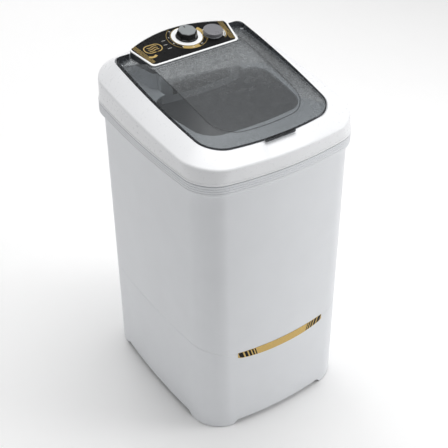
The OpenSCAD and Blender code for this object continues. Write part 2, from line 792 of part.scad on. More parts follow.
module motor_rotor() color("silver") {
    translate([0, motor_y, 0]) {
        ring(rotor_r, motor_shaft_r, core_bottom, core_top);
        ring(rotor_r - 2, rotor_r - 12, core_top - eps, core_top + 6);
        ring(rotor_r - 2, rotor_r - 12, core_bottom - 6, core_bottom + eps);
    }
}
module motor_core() color("darkgray") {
    translate([0, motor_y, 0]) difference() {
        ring(motor_r - 4, rotor_r + air_gap, core_bottom, core_top);
        for (a = [0 : 30 : 330]) rotate(a) translate([rotor_r + 12, 0, 0])
            rod(4.5, core_bottom - 1, core_top + 1);
        four(bolt_x, bolt_x) rod(2.6, 0, far);
    }
}
module motor_windings() color("chocolate") {
    translate([0, motor_y, 0]) {
        for (a = [0 : 30 : 330]) rotate(a) translate([rotor_r + 12, 0, 0])
            rod(4.4, core_bottom - 1, core_top + 1);
        ring(rotor_r + 13, rotor_r + 4, core_top + 0.5, core_top + 12);
        ring(rotor_r + 13, rotor_r + 4, core_bottom - 12, core_bottom - 0.5);
    }
}
module motor_cap(z_face, up) {
    // A cup over one end of the core, with a bearing boss round the shaft
    translate([0, motor_y, z_face]) mirror([0, 0, up ? 0 : 1]) difference() {
        union() {
            ring(motor_r - 4, motor_r - 8, 0, 18);
            ring(motor_r - 4, motor_shaft_r + 4, 15, 19);
            rod(motor_shaft_r + 8, 15, 24);
            four(bolt_x, bolt_x) rod(6, 0, 18);
        }
        rod(motor_shaft_r + run_gap, -1, up ? 23 : 40);
        four(bolt_x, bolt_x) rod(2.6, -1, 40);
        for (a = [20 : 40 : 340]) rotate(a) translate([motor_r - 22, 0, 14]) cylinder(r = 4, h = 10);
    }
}
module motor_cap_upper() color("silver") motor_cap(core_top, true);
module motor_cap_lower() color("silver") motor_cap(core_bottom, false);
module motor_through_bolts() color("gray") {
    translate([0, motor_y, 0]) four(bolt_x, bolt_x) {
        rod(2.5, core_bottom - 22, bracket_z);
        translate([0, 0, core_bottom - 23]) cylinder(r = 5, h = 4, $fn = 6);
    }
}
module motor_bracket() color("lightsteelblue") {
    translate([0, motor_y, 0]) difference() {
        translate([-bracket_x - 12, -bracket_y - 12, bracket_z])
            cube([2 * bracket_x + 24, 2 * bracket_y + 24, bracket_t]);
        rod(motor_shaft_r + 9, 0, far);
        four(bracket_x, bracket_y) rod(5, 0, far);
    }
}
module motor_grommets() color("black") {
    translate([0, motor_y, 0]) four(bracket_x, bracket_y) {
        ring(5, 2.7, bracket_z - 4, boss_end);
        ring(10, 5 - eps, bracket_z + bracket_t, boss_end);
        ring(10, 5 - eps, bracket_z - 4, bracket_z);
    }
}
module motor_bolts() color("silver") {
    translate([0, motor_y, 0]) four(bracket_x, bracket_y) {
        rod(2.6, bracket_z - 6, tub_under - 4);
        ring(9, 2.6 - eps, bracket_z - 5.5, bracket_z - 4);
        translate([0, 0, bracket_z - 9.5]) cylinder(r = 5, h = 4, $fn = 6);
    }
}
module capacitor() color("whitesmoke") {
    translate([cap_can_x, motor_y, 0]) {
        rod(cap_can_r, 170, 250);
        for (s = [-1, 1]) translate([s * 6 - 0.4, -3, 164]) cube([0.8, 6, 7]);
    }
}
module capacitor_clip() color("gray") {
    translate([cap_can_x, motor_y, 0]) {
        ring(cap_can_r + 2, cap_can_r, 214, 232);
        rod(cap_can_r + 2, 250, 252);
        rod(6, 252 - eps, tub_under);
        translate([cap_can_r, -6, 214]) cube([2, 12, 38]);
    }
}
module drain_strainer() color("gray") {
    translate([drain_x, drain_y, 0]) difference() {
        union() {
            rod(strainer_r + 5, tub_floor, tub_floor + 2);
            rod(strainer_r, tub_under - 16, tub_floor + eps);
        }
        rod(strainer_r - 3, tub_under - 17, tub_floor);
        for (a = [0 : 60 : 300], d = [6, 13]) rotate(a) translate([d, 0, 0]) rod(2.2, 0, far);
    }
}
// Ring round a point of a route that lies in a plane across X, square to its direction
function route_ring(p, d, r, n = 20) = let (m = [0, -d.z, d.y] / norm(d))
    [for (i = [0 : n - 1]) p + r * (cos(360 * i / n) * [1, 0, 0] + sin(360 * i / n) * m)];
// Quarter circle from direction d0 to direction d1, starting at p: points and their directions
function bend(p, d0, d1, r, steps = 6) = [for (i = [0 : steps]) let (t = 90 * i / steps)
    [p + r * (sin(t) * d0 + (1 - cos(t)) * d1), cos(t) * d0 + sin(t) * d1]];
function route_rings(route, r) = [for (q = route) route_ring(q[0], q[1], r)];
function reversed(list) = [for (i = [len(list) - 1 : -1 : 0]) list[i]];
down = [0, 0, -1];
back = [0, 1, 0];
drain_route = concat(
    [[[drain_x, drain_y, tub_under - 8], down]],
    bend([drain_x, drain_y, drain_z + bend_r], down, back, bend_r),
    [[[drain_x, outlet_in, drain_z], back]]
);
module drain_tube() color("lightgray") {
    tube_loft(concat(route_rings(drain_route, tube_r), reversed(route_rings(drain_route, outlet_r + 0.4))));
}
module drain_outlet() color("gray") {
    translate([drain_x, 0, drain_z]) rotate([-90, 0, 0]) difference() {
        union() {
            rod(outlet_r, outlet_in - 14, rear_wall_y + outlet_l + 9);
            rod(outlet_r + 2.4, rear_wall_y - 22, rear_wall_y + 6);
            rod(outlet_r + 8, rear_wall_y - 22, rear_wall_y - 19);
        }
        rod(outlet_r - 2.4, 0, far);
    }
}
module outlet_nut() color("darkgray") {
    translate([drain_x, 0, drain_z]) rotate([-90, 0, 0]) translate([0, 0, rear_wall_y - 19]) difference() {
        cylinder(r = outlet_r + 7, h = 4, $fn = 6);
        translate([0, 0, -1]) cylinder(r = outlet_r + 2.4, h = 8);
    }
}
module cord_gland() color("black") {
    translate([-drain_x, 0, drain_z]) rotate([-90, 0, 0]) difference() {
        union() {
            rod(9, rear_wall_y - 24, rear_wall_y + 8);
            rod(13, rear_wall_y + 7, rear_wall_y + 12);
            rod(13, rear_wall_y - 26, rear_wall_y - 22);
        }
        rod(4, 0, far);
    }
}
module wiring_loom() color("dimgray") {
    // Conduit up the rear of the tub, from the motor bay to the space under the island
    translate([loom_x, loom_y, 0]) ring(loom_r, loom_r - 1.2, motor_z, loom_z);
}
module loom_clips() color("gray") {
    for (z = [body_h * 0.45, body_h * 0.75]) {
        translate([loom_x, loom_y, z]) ring(loom_r + 2, loom_r + 0.05, 0, clip_h);
        translate([loom_x - 3, loom_y + loom_r + 1, z])
            cube([6, cabinet_rear(loom_x, z) - wall - 0.3 - loom_y - loom_r - 1, clip_h]);
    }
}
// Rear face of the cabinet at a height
function cabinet_rear(x, z) = let (t = z / lip_bottom, a = seat_a - lip - 2.6 * (1 - t))
    seat_b - 9 + (front_bow - 14) * (1 - pow(x / a, 2)) - 3 - lean * (1 - t);
module front_badge() color("gold") {
    prism(concat(
        [for (i = [-8 : 8]) [badge_w * i / 8, front_y(badge_w * i / 8) - badge_t]],
        [for (i = [8 : -1 : -8]) [badge_w * i / 8, front_y(badge_w * i / 8)]]
    ), badge_z - badge_h / 2, badge_z + badge_h / 2);
}
// Front wall of the cabinet at the badge's height
function front_y(x) = let (
    t = badge_z / lip_bottom, a = seat_a - lip - 2.6 * (1 - t), b = seat_b - 9
) -b - (front_bow - 4.5 * (1 - t)) * (1 - pow(x / a, 2)) - 3 - lean * (1 - t) - 0.15;

cabinet();
rubber_feet();
base_tray();
base_screws();
wash_tub();
top_cover();
cover_screws();
lid();
hinge_pins();
island_housing();
island_trim();
island_fascia();
dial_ring();
timer_knob();
knob_insert();
timer_case();
timer_spindle();
timer_screws();
softener_cap();
softener_cup();
filter_housing();
filter_cassette();
filter_mesh();
agitator();
agitator_screw();
drive_shaft();
shaft_seal();
bearing_housing();
upper_bearing();
lower_bearing();
housing_screws();
driven_pulley();
pulley_nut();
drive_belt();
motor_pulley();
motor_shaft();
motor_rotor();
motor_core();
motor_windings();
motor_cap_upper();
motor_cap_lower();
motor_through_bolts();
motor_bracket();
motor_grommets();
motor_bolts();
capacitor();
capacitor_clip();
drain_strainer();
drain_tube();
drain_outlet();
outlet_nut();
cord_gland();
wiring_loom();
loom_clips();
front_badge();
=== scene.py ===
"""Looks of the top-loading laundry washer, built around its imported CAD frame."""
import json
import math

import bmesh
import bpy
from mathutils import Matrix, Vector


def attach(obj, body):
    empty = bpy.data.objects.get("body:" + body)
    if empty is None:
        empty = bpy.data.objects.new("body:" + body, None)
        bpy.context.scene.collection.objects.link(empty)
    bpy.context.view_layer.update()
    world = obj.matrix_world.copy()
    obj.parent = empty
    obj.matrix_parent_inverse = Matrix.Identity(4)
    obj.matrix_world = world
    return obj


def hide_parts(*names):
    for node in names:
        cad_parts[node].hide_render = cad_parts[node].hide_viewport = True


MM = 0.001
TAU = math.tau

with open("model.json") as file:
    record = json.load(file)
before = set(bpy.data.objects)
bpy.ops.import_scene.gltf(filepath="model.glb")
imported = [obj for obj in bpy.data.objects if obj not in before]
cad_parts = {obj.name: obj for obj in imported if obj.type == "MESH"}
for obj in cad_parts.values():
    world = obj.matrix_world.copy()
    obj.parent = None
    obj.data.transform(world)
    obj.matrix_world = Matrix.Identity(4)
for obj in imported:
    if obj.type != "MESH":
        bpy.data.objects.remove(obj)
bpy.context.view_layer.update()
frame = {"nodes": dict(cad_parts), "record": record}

# ---------------------------------------------------------------- design values, in millimetres
WALL = 3.2
SIDE_BOW, FRONT_BOW, CORNER = 16.6, 31.8, 68
SEAT_A, SEAT_B = 532 / 2 - SIDE_BOW, 627 / 2 - FRONT_BOW
LIP, LIP_BOTTOM, LIP_TOP = 11, 842, 870
SEAT_Z, LEAN = 873, 9
LID_FRONT_Z, LID_FRONT_Y, LID_REAR_Y = 937, -259.5, 216
LID_A, LID_T, LID_GAP, LID_BOW = 199, 3, 2.5, 24
LID_B = (LID_REAR_Y - LID_FRONT_Y - LID_BOW) / 2
LID_MID = (LID_REAR_Y + LID_FRONT_Y + LID_BOW) / 2
CROWN_H, CREASE_A = 60, 142
ISLAND_Y0, ISLAND_Y1, ISLAND_BOW = 121.5, 222, 32
ISLAND_F, ISLAND_R, TRIM_W, TILT = 141, 157, 6, math.radians(8)
ISLAND_Z, ISLAND_TOP = 973, 997
DECK_Z = 925
OPEN_REAR, OPEN_FRONT = 83.5, -159.5
HINGE_Y = 194
TUB_FLOOR, TUB_UNDER = 300, 295.8
DRIVE_Y = -20
FACE_DROP = 1.6
TIMER = (17, 201.5)
CAP = (91, 182.5)
BADGE_Z, BADGE_W = 283, 147
FOOT_X, FOOT_Y, FOOT_MID = 204.4, 235.7, -12
OUTLET_X, REAR_HOLE_Z = 142, 90
DRAIN_Y = 150
LIP_GROOVES = (850, 857, 864)
RAISED_PRINT = 0.12


# ---------------------------------------------------------------- outlines
def lerp(p, q, t):
    return p + (q - p) * t


def clamp(v, low=0.0, high=1.0):
    return max(low, min(high, v))


def ease(v):
    v = clamp(v)
    return v * v * (3 - 2 * v)


def outline(a, b, r, side, front, rear, taper=0.0, dy=0.0, q=None):
    """Mirrored rounded rectangle with swelling sides, counter-clockwise from the middle of the front."""
    ends, arc, sides = 22, 14, 44
    q = r if q is None else q
    half = [((a - r) * i / ends, -b) for i in range(ends)]
    half += [(a - r + r * math.sin(TAU / 4 * i / arc), -b + r - r * math.cos(TAU / 4 * i / arc))
             for i in range(arc + 1)]
    half += [(a, lerp(-b + r, b - q, i / sides)) for i in range(1, sides)]
    half += [(a - q + q * math.cos(TAU / 4 * i / arc), b - q + q * math.sin(TAU / 4 * i / arc))
             for i in range(arc + 1)]
    half += [((a - q) * (1 - i / ends), b) for i in range(1, ends + 1)]
    swollen = []
    for x, y in half:
        bow = front if y < 0 else rear
        grown = (x + side * (1 - (y / b) ** 2) * x / a) * (1 + taper * y / b)
        deep = y + math.copysign(bow * (1 - (x / a) ** 2) * abs(y) / b, y)
        swollen.append((grown, deep + dy))
    return swollen + [(-x, y) for x, y in reversed(swollen[1:-1])]


def island_plan(inset, r=14):
    f, b = ISLAND_F - inset, ISLAND_R - inset
    y0, y1, q = ISLAND_Y0 + inset, ISLAND_Y1 - inset, r - inset / 2
    half = [((f - q) * i / 12, y0) for i in range(12)]
    half += [(f - q + q * math.sin(TAU / 4 * i / 10), y0 + q - q * math.cos(TAU / 4 * i / 10))
             for i in range(11)]
    half += [(lerp(f, b, i / 8), lerp(y0 + q, y1 - q, i / 8)) for i in range(1, 8)]
    half += [(b - q + q * math.cos(TAU / 4 * i / 10), y1 - q + q * math.sin(TAU / 4 * i / 10))
             for i in range(11)]
    half += [((b - q) * (1 - i / 24), y1 + ISLAND_BOW * (1 - (1 - i / 24) ** 2)) for i in range(1, 25)]
    return half + [(-x, y) for x, y in reversed(half[1:-1])]


def lift(points, z):
    """Ring at a height, or at a height that depends on where each point is."""
    return [Vector((x, y, z(x, y) if callable(z) else z)) for x, y in points]


def circle(cx, cy, r, z, count):
    """Ring of points round an upright axis, counter-clockwise from the machine's right."""
    return [Vector((cx + r * math.cos(TAU * k / count), cy + r * math.sin(TAU * k / count), z))
            for k in range(count)]


def seat(inset):
    return outline(SEAT_A - inset, SEAT_B - inset, CORNER - inset, SIDE_BOW, FRONT_BOW, FRONT_BOW)


def crease(inset):
    return outline(SEAT_A + 4.5 - inset, SEAT_B - 1 - inset, CORNER + 20 - inset,
                   SIDE_BOW - 5, FRONT_BOW + 1, FRONT_BOW + 1)


def lid_line(inset):
    return outline(LID_A - inset, LID_B - inset, 56 - inset, 9, LID_BOW, 0, 0.025, LID_MID, 18 - inset)


def crown_line(inset=0):
    return outline(CREASE_A - inset, LID_B - 22 - inset, 62 - inset, 2, 16, 0, 0.03, LID_MID + 14)


def opening_line(inset):
    return outline(164 - inset, (OPEN_REAR - OPEN_FRONT) / 2 - inset, 46, 8, 14, 0, 0.07,
                   (OPEN_REAR + OPEN_FRONT) / 2)


def cabinet_line(t, inset=0.0):
    return outline(SEAT_A - LIP - 2.6 * (1 - t) - inset, SEAT_B - 9 - inset,
                   lerp(CORNER + 2, CORNER - 6, t) - inset,
                   SIDE_BOW, FRONT_BOW - 4.5 * (1 - t), FRONT_BOW - 14, 0, -3 - LEAN * (1 - t))


def tub_line(t, inset=0.0):
    return outline(SEAT_A - LIP - 14 - 14 * (1 - t) - inset, SEAT_B - 34 - 14 * (1 - t) - inset,
                   CORNER + 8 - inset, SIDE_BOW - 2, FRONT_BOW - 10, FRONT_BOW - 14, 0, -4)


def rear_room(points):
    return [(x, y + 7 * clamp((y - LID_REAR_Y + 40) / 40)) for x, y in points]


def rim_z(x, y):
    return LID_FRONT_Z + 0.131 * (y - LID_FRONT_Y)


def floor_z(x, y):
    return LID_FRONT_Z + 0.097 * (y - LID_FRONT_Y)


def crown_z(x, y):
    u = clamp((ISLAND_Y0 - y) / (ISLAND_Y0 - LID_FRONT_Y))
    return LID_FRONT_Z + CROWN_H * (1 - u ** 1.4)


def below(height, drop):
    return lambda x, y: height(x, y) - drop


def finger_dip(x, y):
    """Shallow scallop in the cover's front edge where fingers reach under the lid's tab."""
    return ease((62 - abs(x)) / 18) if y < 0 else 0.0


def seat_edge_z(x, y):
    return LID_FRONT_Z - 1 + 0.119 * (y - LID_FRONT_Y) - 6 * finger_dip(x, y)


def ledge_z(x, y):
    return floor_z(x, y) - LID_T - 0.4 - 27 * ease((y - HINGE_Y + 24) / 20)


def face_z(drop):
    """Height of the control face, or of a plane under it by a drop."""
    return lambda x, y: ISLAND_TOP - drop / math.cos(TILT) + (y - ISLAND_Y0) * math.tan(TILT)


# ---------------------------------------------------------------- surfaces
def bend(p, q, r, radius, steps):
    """Rounds the corner q of the path p-q-r."""
    into, out = p - q, r - q
    if into.length < 1e-6 or out.length < 1e-6:
        return [q] * (steps + 1)
    a = q + into * min(0.48, radius / into.length)
    b = q + out * min(0.48, radius / out.length)
    return [a.lerp(q, t).lerp(q.lerp(b, t), t) for t in (k / steps for k in range(steps + 1))]


def rounded(stations, steps=4, capped=False):
    """Rings through a list of (ring, edge radius); a radius of 0 leaves the edge sharp.
    On a capped loft the first and last edges round over into the caps."""
    rings = []
    for i, (ring, radius) in enumerate(stations):
        if not radius:
            rings.append(ring)
            continue
        before, after = stations[i - 1][0], stations[(i + 1) % len(stations)][0]
        if capped and i in (0, len(stations) - 1):
            middle = [sum(ring, Vector()) / len(ring)] * len(ring)
            before, after = (middle, after) if i == 0 else (before, middle)
        arcs = [bend(p, q, r, radius, steps) for p, q, r in zip(before, ring, after)]
        rings += [[arc[k] for arc in arcs] for k in range(steps + 1)]
    return rings


def loft(rings, closed=False, first_cap=False, last_cap=False):
    """Quads through rings of the same size; a cap joins each point to its mirror image."""
    n, m = len(rings[0]), len(rings)
    points = [p for ring in rings for p in ring]
    quads = []
    for i in range(m if closed else m - 1):
        k = (i + 1) % m
        quads += [(i * n + j, i * n + (j + 1) % n, k * n + (j + 1) % n, k * n + j) for j in range(n)]
    for wanted, start in ((first_cap, 0), (last_cap, (m - 1) * n)):
        if wanted:
            for j in range(n // 2):
                corners = [start + j, start + j + 1, start + n - j - 1, start + (n - j) % n]
                quads.append(tuple(dict.fromkeys(corners)))
    return points, [q for q in quads if len(q) > 2]


def block(stations, steps=4):
    """Loft that is closed at both ends, its end edges rounded over into the caps."""
    return loft(rounded(stations, steps, capped=True), first_cap=True, last_cap=True)


def joined(*surfaces):
    """One surface from several (points, faces)."""
    points, faces = [], []
    for some_points, some_faces in surfaces:
        faces += [tuple(i + len(points) for i in face) for face in some_faces]
        points += some_points
    return points, faces


def turned(profile, centre, count=96, on=None, shape=None, closed=False):
    """Surface turned about a vertical axis from (radius, height, edge radius) stations."""
    cx, cy = centre
    stations = []
    for r, z, radius in profile:
        ring = []
        for k in range(count):
            a = TAU * k / count
            far = r * (shape(a, z) if shape else 1)
            ring.append(Vector((cx + far * math.cos(a), cy + far * math.sin(a), z)))
        stations.append((ring, radius))
    points, faces = loft(rounded(stations), closed=closed)
    if on:
        points = [on @ p for p in points]
    return points, faces


FACE = (Matrix.Translation((0, ISLAND_Y0, ISLAND_TOP)) @ Matrix.Rotation(TILT, 4, "X")
        @ Matrix.Translation((0, -ISLAND_Y0, 0)))


def piece(name, surface, material, body="machine", stands_for=(), sharp=34):
    """Mesh object from millimetre points, smooth but for its sharp edges, riding on its body."""
    points, faces = surface
    mesh = bpy.data.meshes.new(name)
    mesh.from_pydata([tuple(c * MM for c in p) for p in points], [], faces)
    sealed(mesh)
    mesh.shade_smooth()
    mesh.set_sharp_from_angle(angle=math.radians(sharp))
    made = bpy.data.objects.new(name, mesh)
    bpy.context.scene.collection.objects.link(made)
    mesh.materials.append(material)
    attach(made, body)
    if stands_for:
        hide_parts(*stands_for)
    return made


def sealed(mesh):
    """Faces turned outwards, whatever order the rings were given in."""
    tidy = bmesh.new()
    tidy.from_mesh(mesh)
    bmesh.ops.remove_doubles(tidy, verts=tidy.verts, dist=2e-6)
    bmesh.ops.dissolve_degenerate(tidy, edges=tidy.edges, dist=1e-6)
    bmesh.ops.recalc_face_normals(tidy, faces=tidy.faces)
    if tidy.calc_volume(signed=True) < 0:
        bmesh.ops.reverse_faces(tidy, faces=tidy.faces)
    tidy.to_mesh(mesh)
    tidy.free()


def cut(target, *cutters, sharp=34, keep_inside=False):
    """Takes closed surfaces away from a piece, or keeps only what is inside them."""
    for surface in cutters:
        points, faces = surface
        mesh = bpy.data.meshes.new("cutter")
        mesh.from_pydata([tuple(c * MM for c in p) for p in points], [], faces)
        sealed(mesh)
        tool = bpy.data.objects.new("cutter", mesh)
        bpy.context.scene.collection.objects.link(tool)
        step = target.modifiers.new("cut", "BOOLEAN")
        step.operation = "INTERSECT" if keep_inside else "DIFFERENCE"
        step.solver, step.object = "MANIFOLD", tool
        bpy.context.view_layer.update()
        shown = target.evaluated_get(bpy.context.evaluated_depsgraph_get())
        result = bpy.data.meshes.new_from_object(shown)
        target.modifiers.remove(step)
        kept = list(target.data.materials)
        target.data = result
        result.materials.clear()
        for material in kept:
            result.materials.append(material)
        for face in result.polygons:
            face.material_index = 0
        result.shade_smooth()
        result.set_sharp_from_angle(angle=math.radians(sharp))
        bpy.data.objects.remove(tool)
    return target


def column(points, z0, z1):
    """Closed prism over an outline."""
    return loft([lift(points, z0), lift(points, z1)], first_cap=True, last_cap=True)


# ---------------------------------------------------------------- finishes
def linear(code):
    """Linear colour of an sRGB hex code."""
    parts = [int(code[i:i + 2], 16) / 255 for i in (0, 2, 4)]
    return tuple(c / 12.92 if c <= 0.04045 else ((c + 0.055) / 1.055) ** 2.4 for c in parts) + (1.0,)


def add(tree, kind, inputs=None, **settings):
    """Adds a shader node; an input given as a socket is linked, anything else is its value."""
    made = tree.nodes.new(kind)
    for key, value in settings.items():
        setattr(made, key, value)
    for key, value in (inputs or {}).items():
        if isinstance(value, bpy.types.NodeSocket):
            tree.links.new(value, made.inputs[key])
        else:
            made.inputs[key].default_value = value
    return made


def fresh(name):
    material = bpy.data.materials.new(name)
    material.use_nodes = True
    material.node_tree.nodes.clear()
    return material, material.node_tree


def close(tree, shader):
    add(tree, "ShaderNodeOutputMaterial", {"Surface": shader})


def where(tree):
    return add(tree, "ShaderNodeTexCoord").outputs["Object"]


def grain(tree, size, detail=2.0, place=None):
    """Noise whose features are about size millimetres across."""
    return add(tree, "ShaderNodeTexNoise", {"Vector": place or where(tree), "Scale": 1 / (size * MM),
                                            "Detail": detail, "Roughness": 0.55}).outputs["Fac"]


def spread(tree, value, low, high, start=0.3, stop=0.7):
    return add(tree, "ShaderNodeMapRange", {"Value": value, "From Min": start, "From Max": stop,
                                            "To Min": low, "To Max": high}).outputs["Result"]


def tinted(tree, code, amount, size):
    """Colour that drifts a little lighter and darker in patches of a size in millimetres."""
    drift = spread(tree, grain(tree, size), 1 - amount, 1 + amount)
    return add(tree, "ShaderNodeHueSaturation", {"Color": linear(code), "Value": drift}).outputs["Color"]


def bumped(tree, height, strength, distance, normal=None):
    inputs = {"Height": height, "Strength": strength, "Distance": distance * MM}
    if normal:
        inputs["Normal"] = normal
    return add(tree, "ShaderNodeBump", inputs).outputs["Normal"]


def moulded(name, code, rough=0.36, spark=0.5, drift=0.012, coat=0.0, depth=0.02, shine=0.5):
    """Injection-moulded plastic: spark-eroded skin, slow shrink waves, and gloss that varies with both."""
    material, tree = fresh(name)
    waves = bumped(tree, grain(tree, 55, 1), 0.12, 0.25)
    skin = bumped(tree, grain(tree, spark, 3), 0.12, depth, waves)
    gloss = spread(tree, grain(tree, 9), rough - 0.04, rough + 0.05)
    shader = add(tree, "ShaderNodeBsdfPrincipled", {
        "Base Color": tinted(tree, code, drift, 90), "Roughness": gloss, "Normal": skin,
        "IOR": 1.49, "Specular IOR Level": shine, "Coat Weight": coat, "Coat Roughness": 0.08})
    close(tree, shader.outputs["BSDF"])
    return material


def smoked(name, code, clear, dark_code):
    """Smoke-tinted clear styrene: polished both sides, darker where the eye looks along the wall."""
    material, tree = fresh(name)
    ripple = bumped(tree, grain(tree, 60, 0), 0.03, 0.02)
    along = add(tree, "ShaderNodeLayerWeight", {"Blend": 0.35}).outputs["Facing"]
    tint = add(tree, "ShaderNodeMix", data_type="RGBA", blend_type="MIX")
    tree.links.new(along, tint.inputs["Factor"])
    tint.inputs["A"].default_value = linear(clear)
    tint.inputs["B"].default_value = linear(dark_code)
    through = add(tree, "ShaderNodeBsdfTransparent", {"Color": tint.outputs["Result"]})
    haze = add(tree, "ShaderNodeBsdfDiffuse", {"Color": linear(code), "Normal": ripple})
    body = add(tree, "ShaderNodeMixShader", {"Fac": 0.085})
    tree.links.new(through.outputs[0], body.inputs[1])
    tree.links.new(haze.outputs[0], body.inputs[2])
    gleam = add(tree, "ShaderNodeBsdfGlossy", {
        "Color": linear("FFFFFF"), "Roughness": spread(tree, grain(tree, 14), 0.22, 0.3), "Normal": ripple})
    edge = add(tree, "ShaderNodeFresnel", {"IOR": 1.22, "Normal": ripple})
    skin = add(tree, "ShaderNodeMixShader", {"Fac": edge.outputs[0]})
    tree.links.new(body.outputs[0], skin.inputs[1])
    tree.links.new(gleam.outputs[0], skin.inputs[2])
    close(tree, skin.outputs[0])
    return material


def metal(name, code, rough=0.3, brushed=None, size=0.25, spots=0.0, metallic=1.0):
    """Bare or coated metal; brushed stretches its scratches along one axis."""
    material, tree = fresh(name)
    place = where(tree)
    if brushed:
        place = add(tree, "ShaderNodeMapping", {"Vector": place, "Scale": brushed}).outputs["Vector"]
    lines = grain(tree, size, 4, place)
    shader = add(tree, "ShaderNodeBsdfPrincipled", {
        "Base Color": tinted(tree, code, 0.04 + spots, 6), "Metallic": metallic,
        "Roughness": spread(tree, lines, rough - 0.08, rough + 0.1),
        "Normal": bumped(tree, lines, 0.2, 0.03)})
    close(tree, shader.outputs["BSDF"])
    return material


def rubber(name, code, rough=0.72):
    """Matt moulded rubber with a faint bloom that lightens it in patches."""
    material, tree = fresh(name)
    bloom = add(tree, "ShaderNodeMix", {"Factor": spread(tree, grain(tree, 5, 5), 0.0, 0.35)},
                data_type="RGBA")
    bloom.inputs["A"].default_value = linear(code)
    bloom.inputs["B"].default_value = linear("4A4C4E")
    shader = add(tree, "ShaderNodeBsdfPrincipled", {
        "Base Color": bloom.outputs["Result"], "Roughness": rough, "Specular IOR Level": 0.35,
        "Normal": bumped(tree, grain(tree, 0.7, 3), 0.4, 0.06)})
    close(tree, shader.outputs["BSDF"])
    return material


def banded(name, codes, size, axis, rough, metallic=0.0):
    """Two colours in fine parallel bands: laminations, wound wire or woven threads."""
    material, tree = fresh(name)
    waves = add(tree, "ShaderNodeTexWave", {"Vector": where(tree), "Scale": 0.05 / (size * MM) * TAU,
                                            "Distortion": 0.6, "Detail": 1.0, "Detail Scale": 2.0},
                wave_type="BANDS", bands_direction=axis).outputs["Fac"]
    colour = add(tree, "ShaderNodeMix", {"Factor": waves}, data_type="RGBA")
    colour.inputs["A"].default_value = linear(codes[0])
    colour.inputs["B"].default_value = linear(codes[1])
    shader = add(tree, "ShaderNodeBsdfPrincipled", {
        "Base Color": colour.outputs["Result"], "Metallic": metallic,
        "Roughness": spread(tree, grain(tree, 2), rough - 0.06, rough + 0.08),
        "Normal": bumped(tree, waves, 0.5, 0.15)})
    close(tree, shader.outputs["BSDF"])
    return material


# White polypropylene of the cabinet: cool white, satin, fine spark skin
shell_pp = moulded("shell_polypropylene", "E2E4E7", rough=0.42, spark=0.45)
# The top cover is run in a polished tool, so its highlights are tighter
cover_pp = moulded("cover_polypropylene", "EEEFF1", rough=0.3, spark=0.6, depth=0.012)
# The tub is coloured greyer than the outside as painted shade of the deep tub, and is slightly rougher
shaded_tub_pp = moulded("tub_polypropylene_painted_shade", "B4B7BB", rough=0.46, spark=0.9, drift=0.02)
# Deck and filter housing seen under the lid: light grey, satin
deck_pp = moulded("filter_polypropylene", "F0F1F2", rough=0.4)
# Smoke styrene of the lid
lid_san = smoked("smoke_styrene", "A0A3A6", "E6E8E9", "95989B")
# The same styrene made darker for parts seen edge-on, the rim and the thick finger tab, and for a strip of
# painted shade along the crown's crease
lid_edge_and_crease_shade = smoked("smoke_styrene_edge_and_crease_shade", "55575A", "A8AAAD", "6C6E71")
# Satin grey ABS of the island's skirt
island_abs = moulded("island_abs", "36393C", rough=0.4, spark=0.5)
# High-gloss white ABS frame round the face
trim_abs = moulded("trim_abs", "F4F5F6", rough=0.22, spark=0.8, depth=0.006, coat=0.4)
# Back-printed black panel under a clear hard coat
fascia_film = moulded("fascia_film", "060607", rough=0.3, spark=0.7, depth=0.004, shine=0.16)
# Piano-black knob body
knob_abs = moulded("knob_abs", "0C0D0E", rough=0.22, spark=0.8, depth=0.006, shine=0.4)
# Sprayed grey cap on the knob
knob_grey = moulded("knob_paint", "85898B", rough=0.34, spark=0.3)
# Smoke-grey cap, polished, with a milky depth
cap_grey = moulded("cap_abs", "76767A", rough=0.3, spark=0.8, depth=0.006, coat=0.3)
# Filter cassette, electrical boxes and conduit: satin moulded plastics
dark_pp = moulded("cassette_polypropylene", "1D1F21", rough=0.5, shine=0.3)
housing_pp = moulded("electrical_housing", "B9BCBF", rough=0.5, spark=0.8)
conduit_pvc = moulded("conduit_pvc", "5E6266", rough=0.5)
# Printed inks and foil
white_ink = moulded("white_ink", "F2F2EF", rough=0.45, spark=0.2, depth=0.004)
black_ink = moulded("black_ink", "0A0A0B", rough=0.4, spark=0.2, depth=0.004, shine=0.2)
gold_foil = metal("gold_foil", "BDA262", rough=0.42, size=0.3, spots=0.03, metallic=0.55)
badge_foil = metal("badge_foil", "CFAF66", rough=0.46, brushed=(1, 8, 8), size=0.6, spots=0.02, metallic=0.4)
# Zinc-plated fixings, turned steel, die-cast alloy
steel = metal("zinc_steel", "B7BABD", rough=0.34, size=0.4)
alloy = metal("cast_alloy", "9EA1A3", rough=0.5, size=0.8, spots=0.05)
bracket_paint = metal("bracket_paint", "3E4246", rough=0.5, size=1.2, metallic=0.0)
# Feet are matt with bloom; the belt's fabric back is a little smoother
foot_rubber = rubber("foot_rubber", "1B1C1D")
belt_rubber = rubber("belt_rubber", "161617", rough=0.6)
# Stacked plates, wound wire and woven net all read as fine bands
core_steel = banded("laminated_steel", ("6F7478", "4E5356"), 0.5, "Z", 0.45, 1.0)
winding_wire = banded("enamelled_wire", ("9A5A2C", "5D3418"), 0.7, "Z", 0.35, 0.8)
mesh_nylon = banded("filter_nylon", ("E8EAEA", "BFC3C5"), 0.8, "X", 0.6)

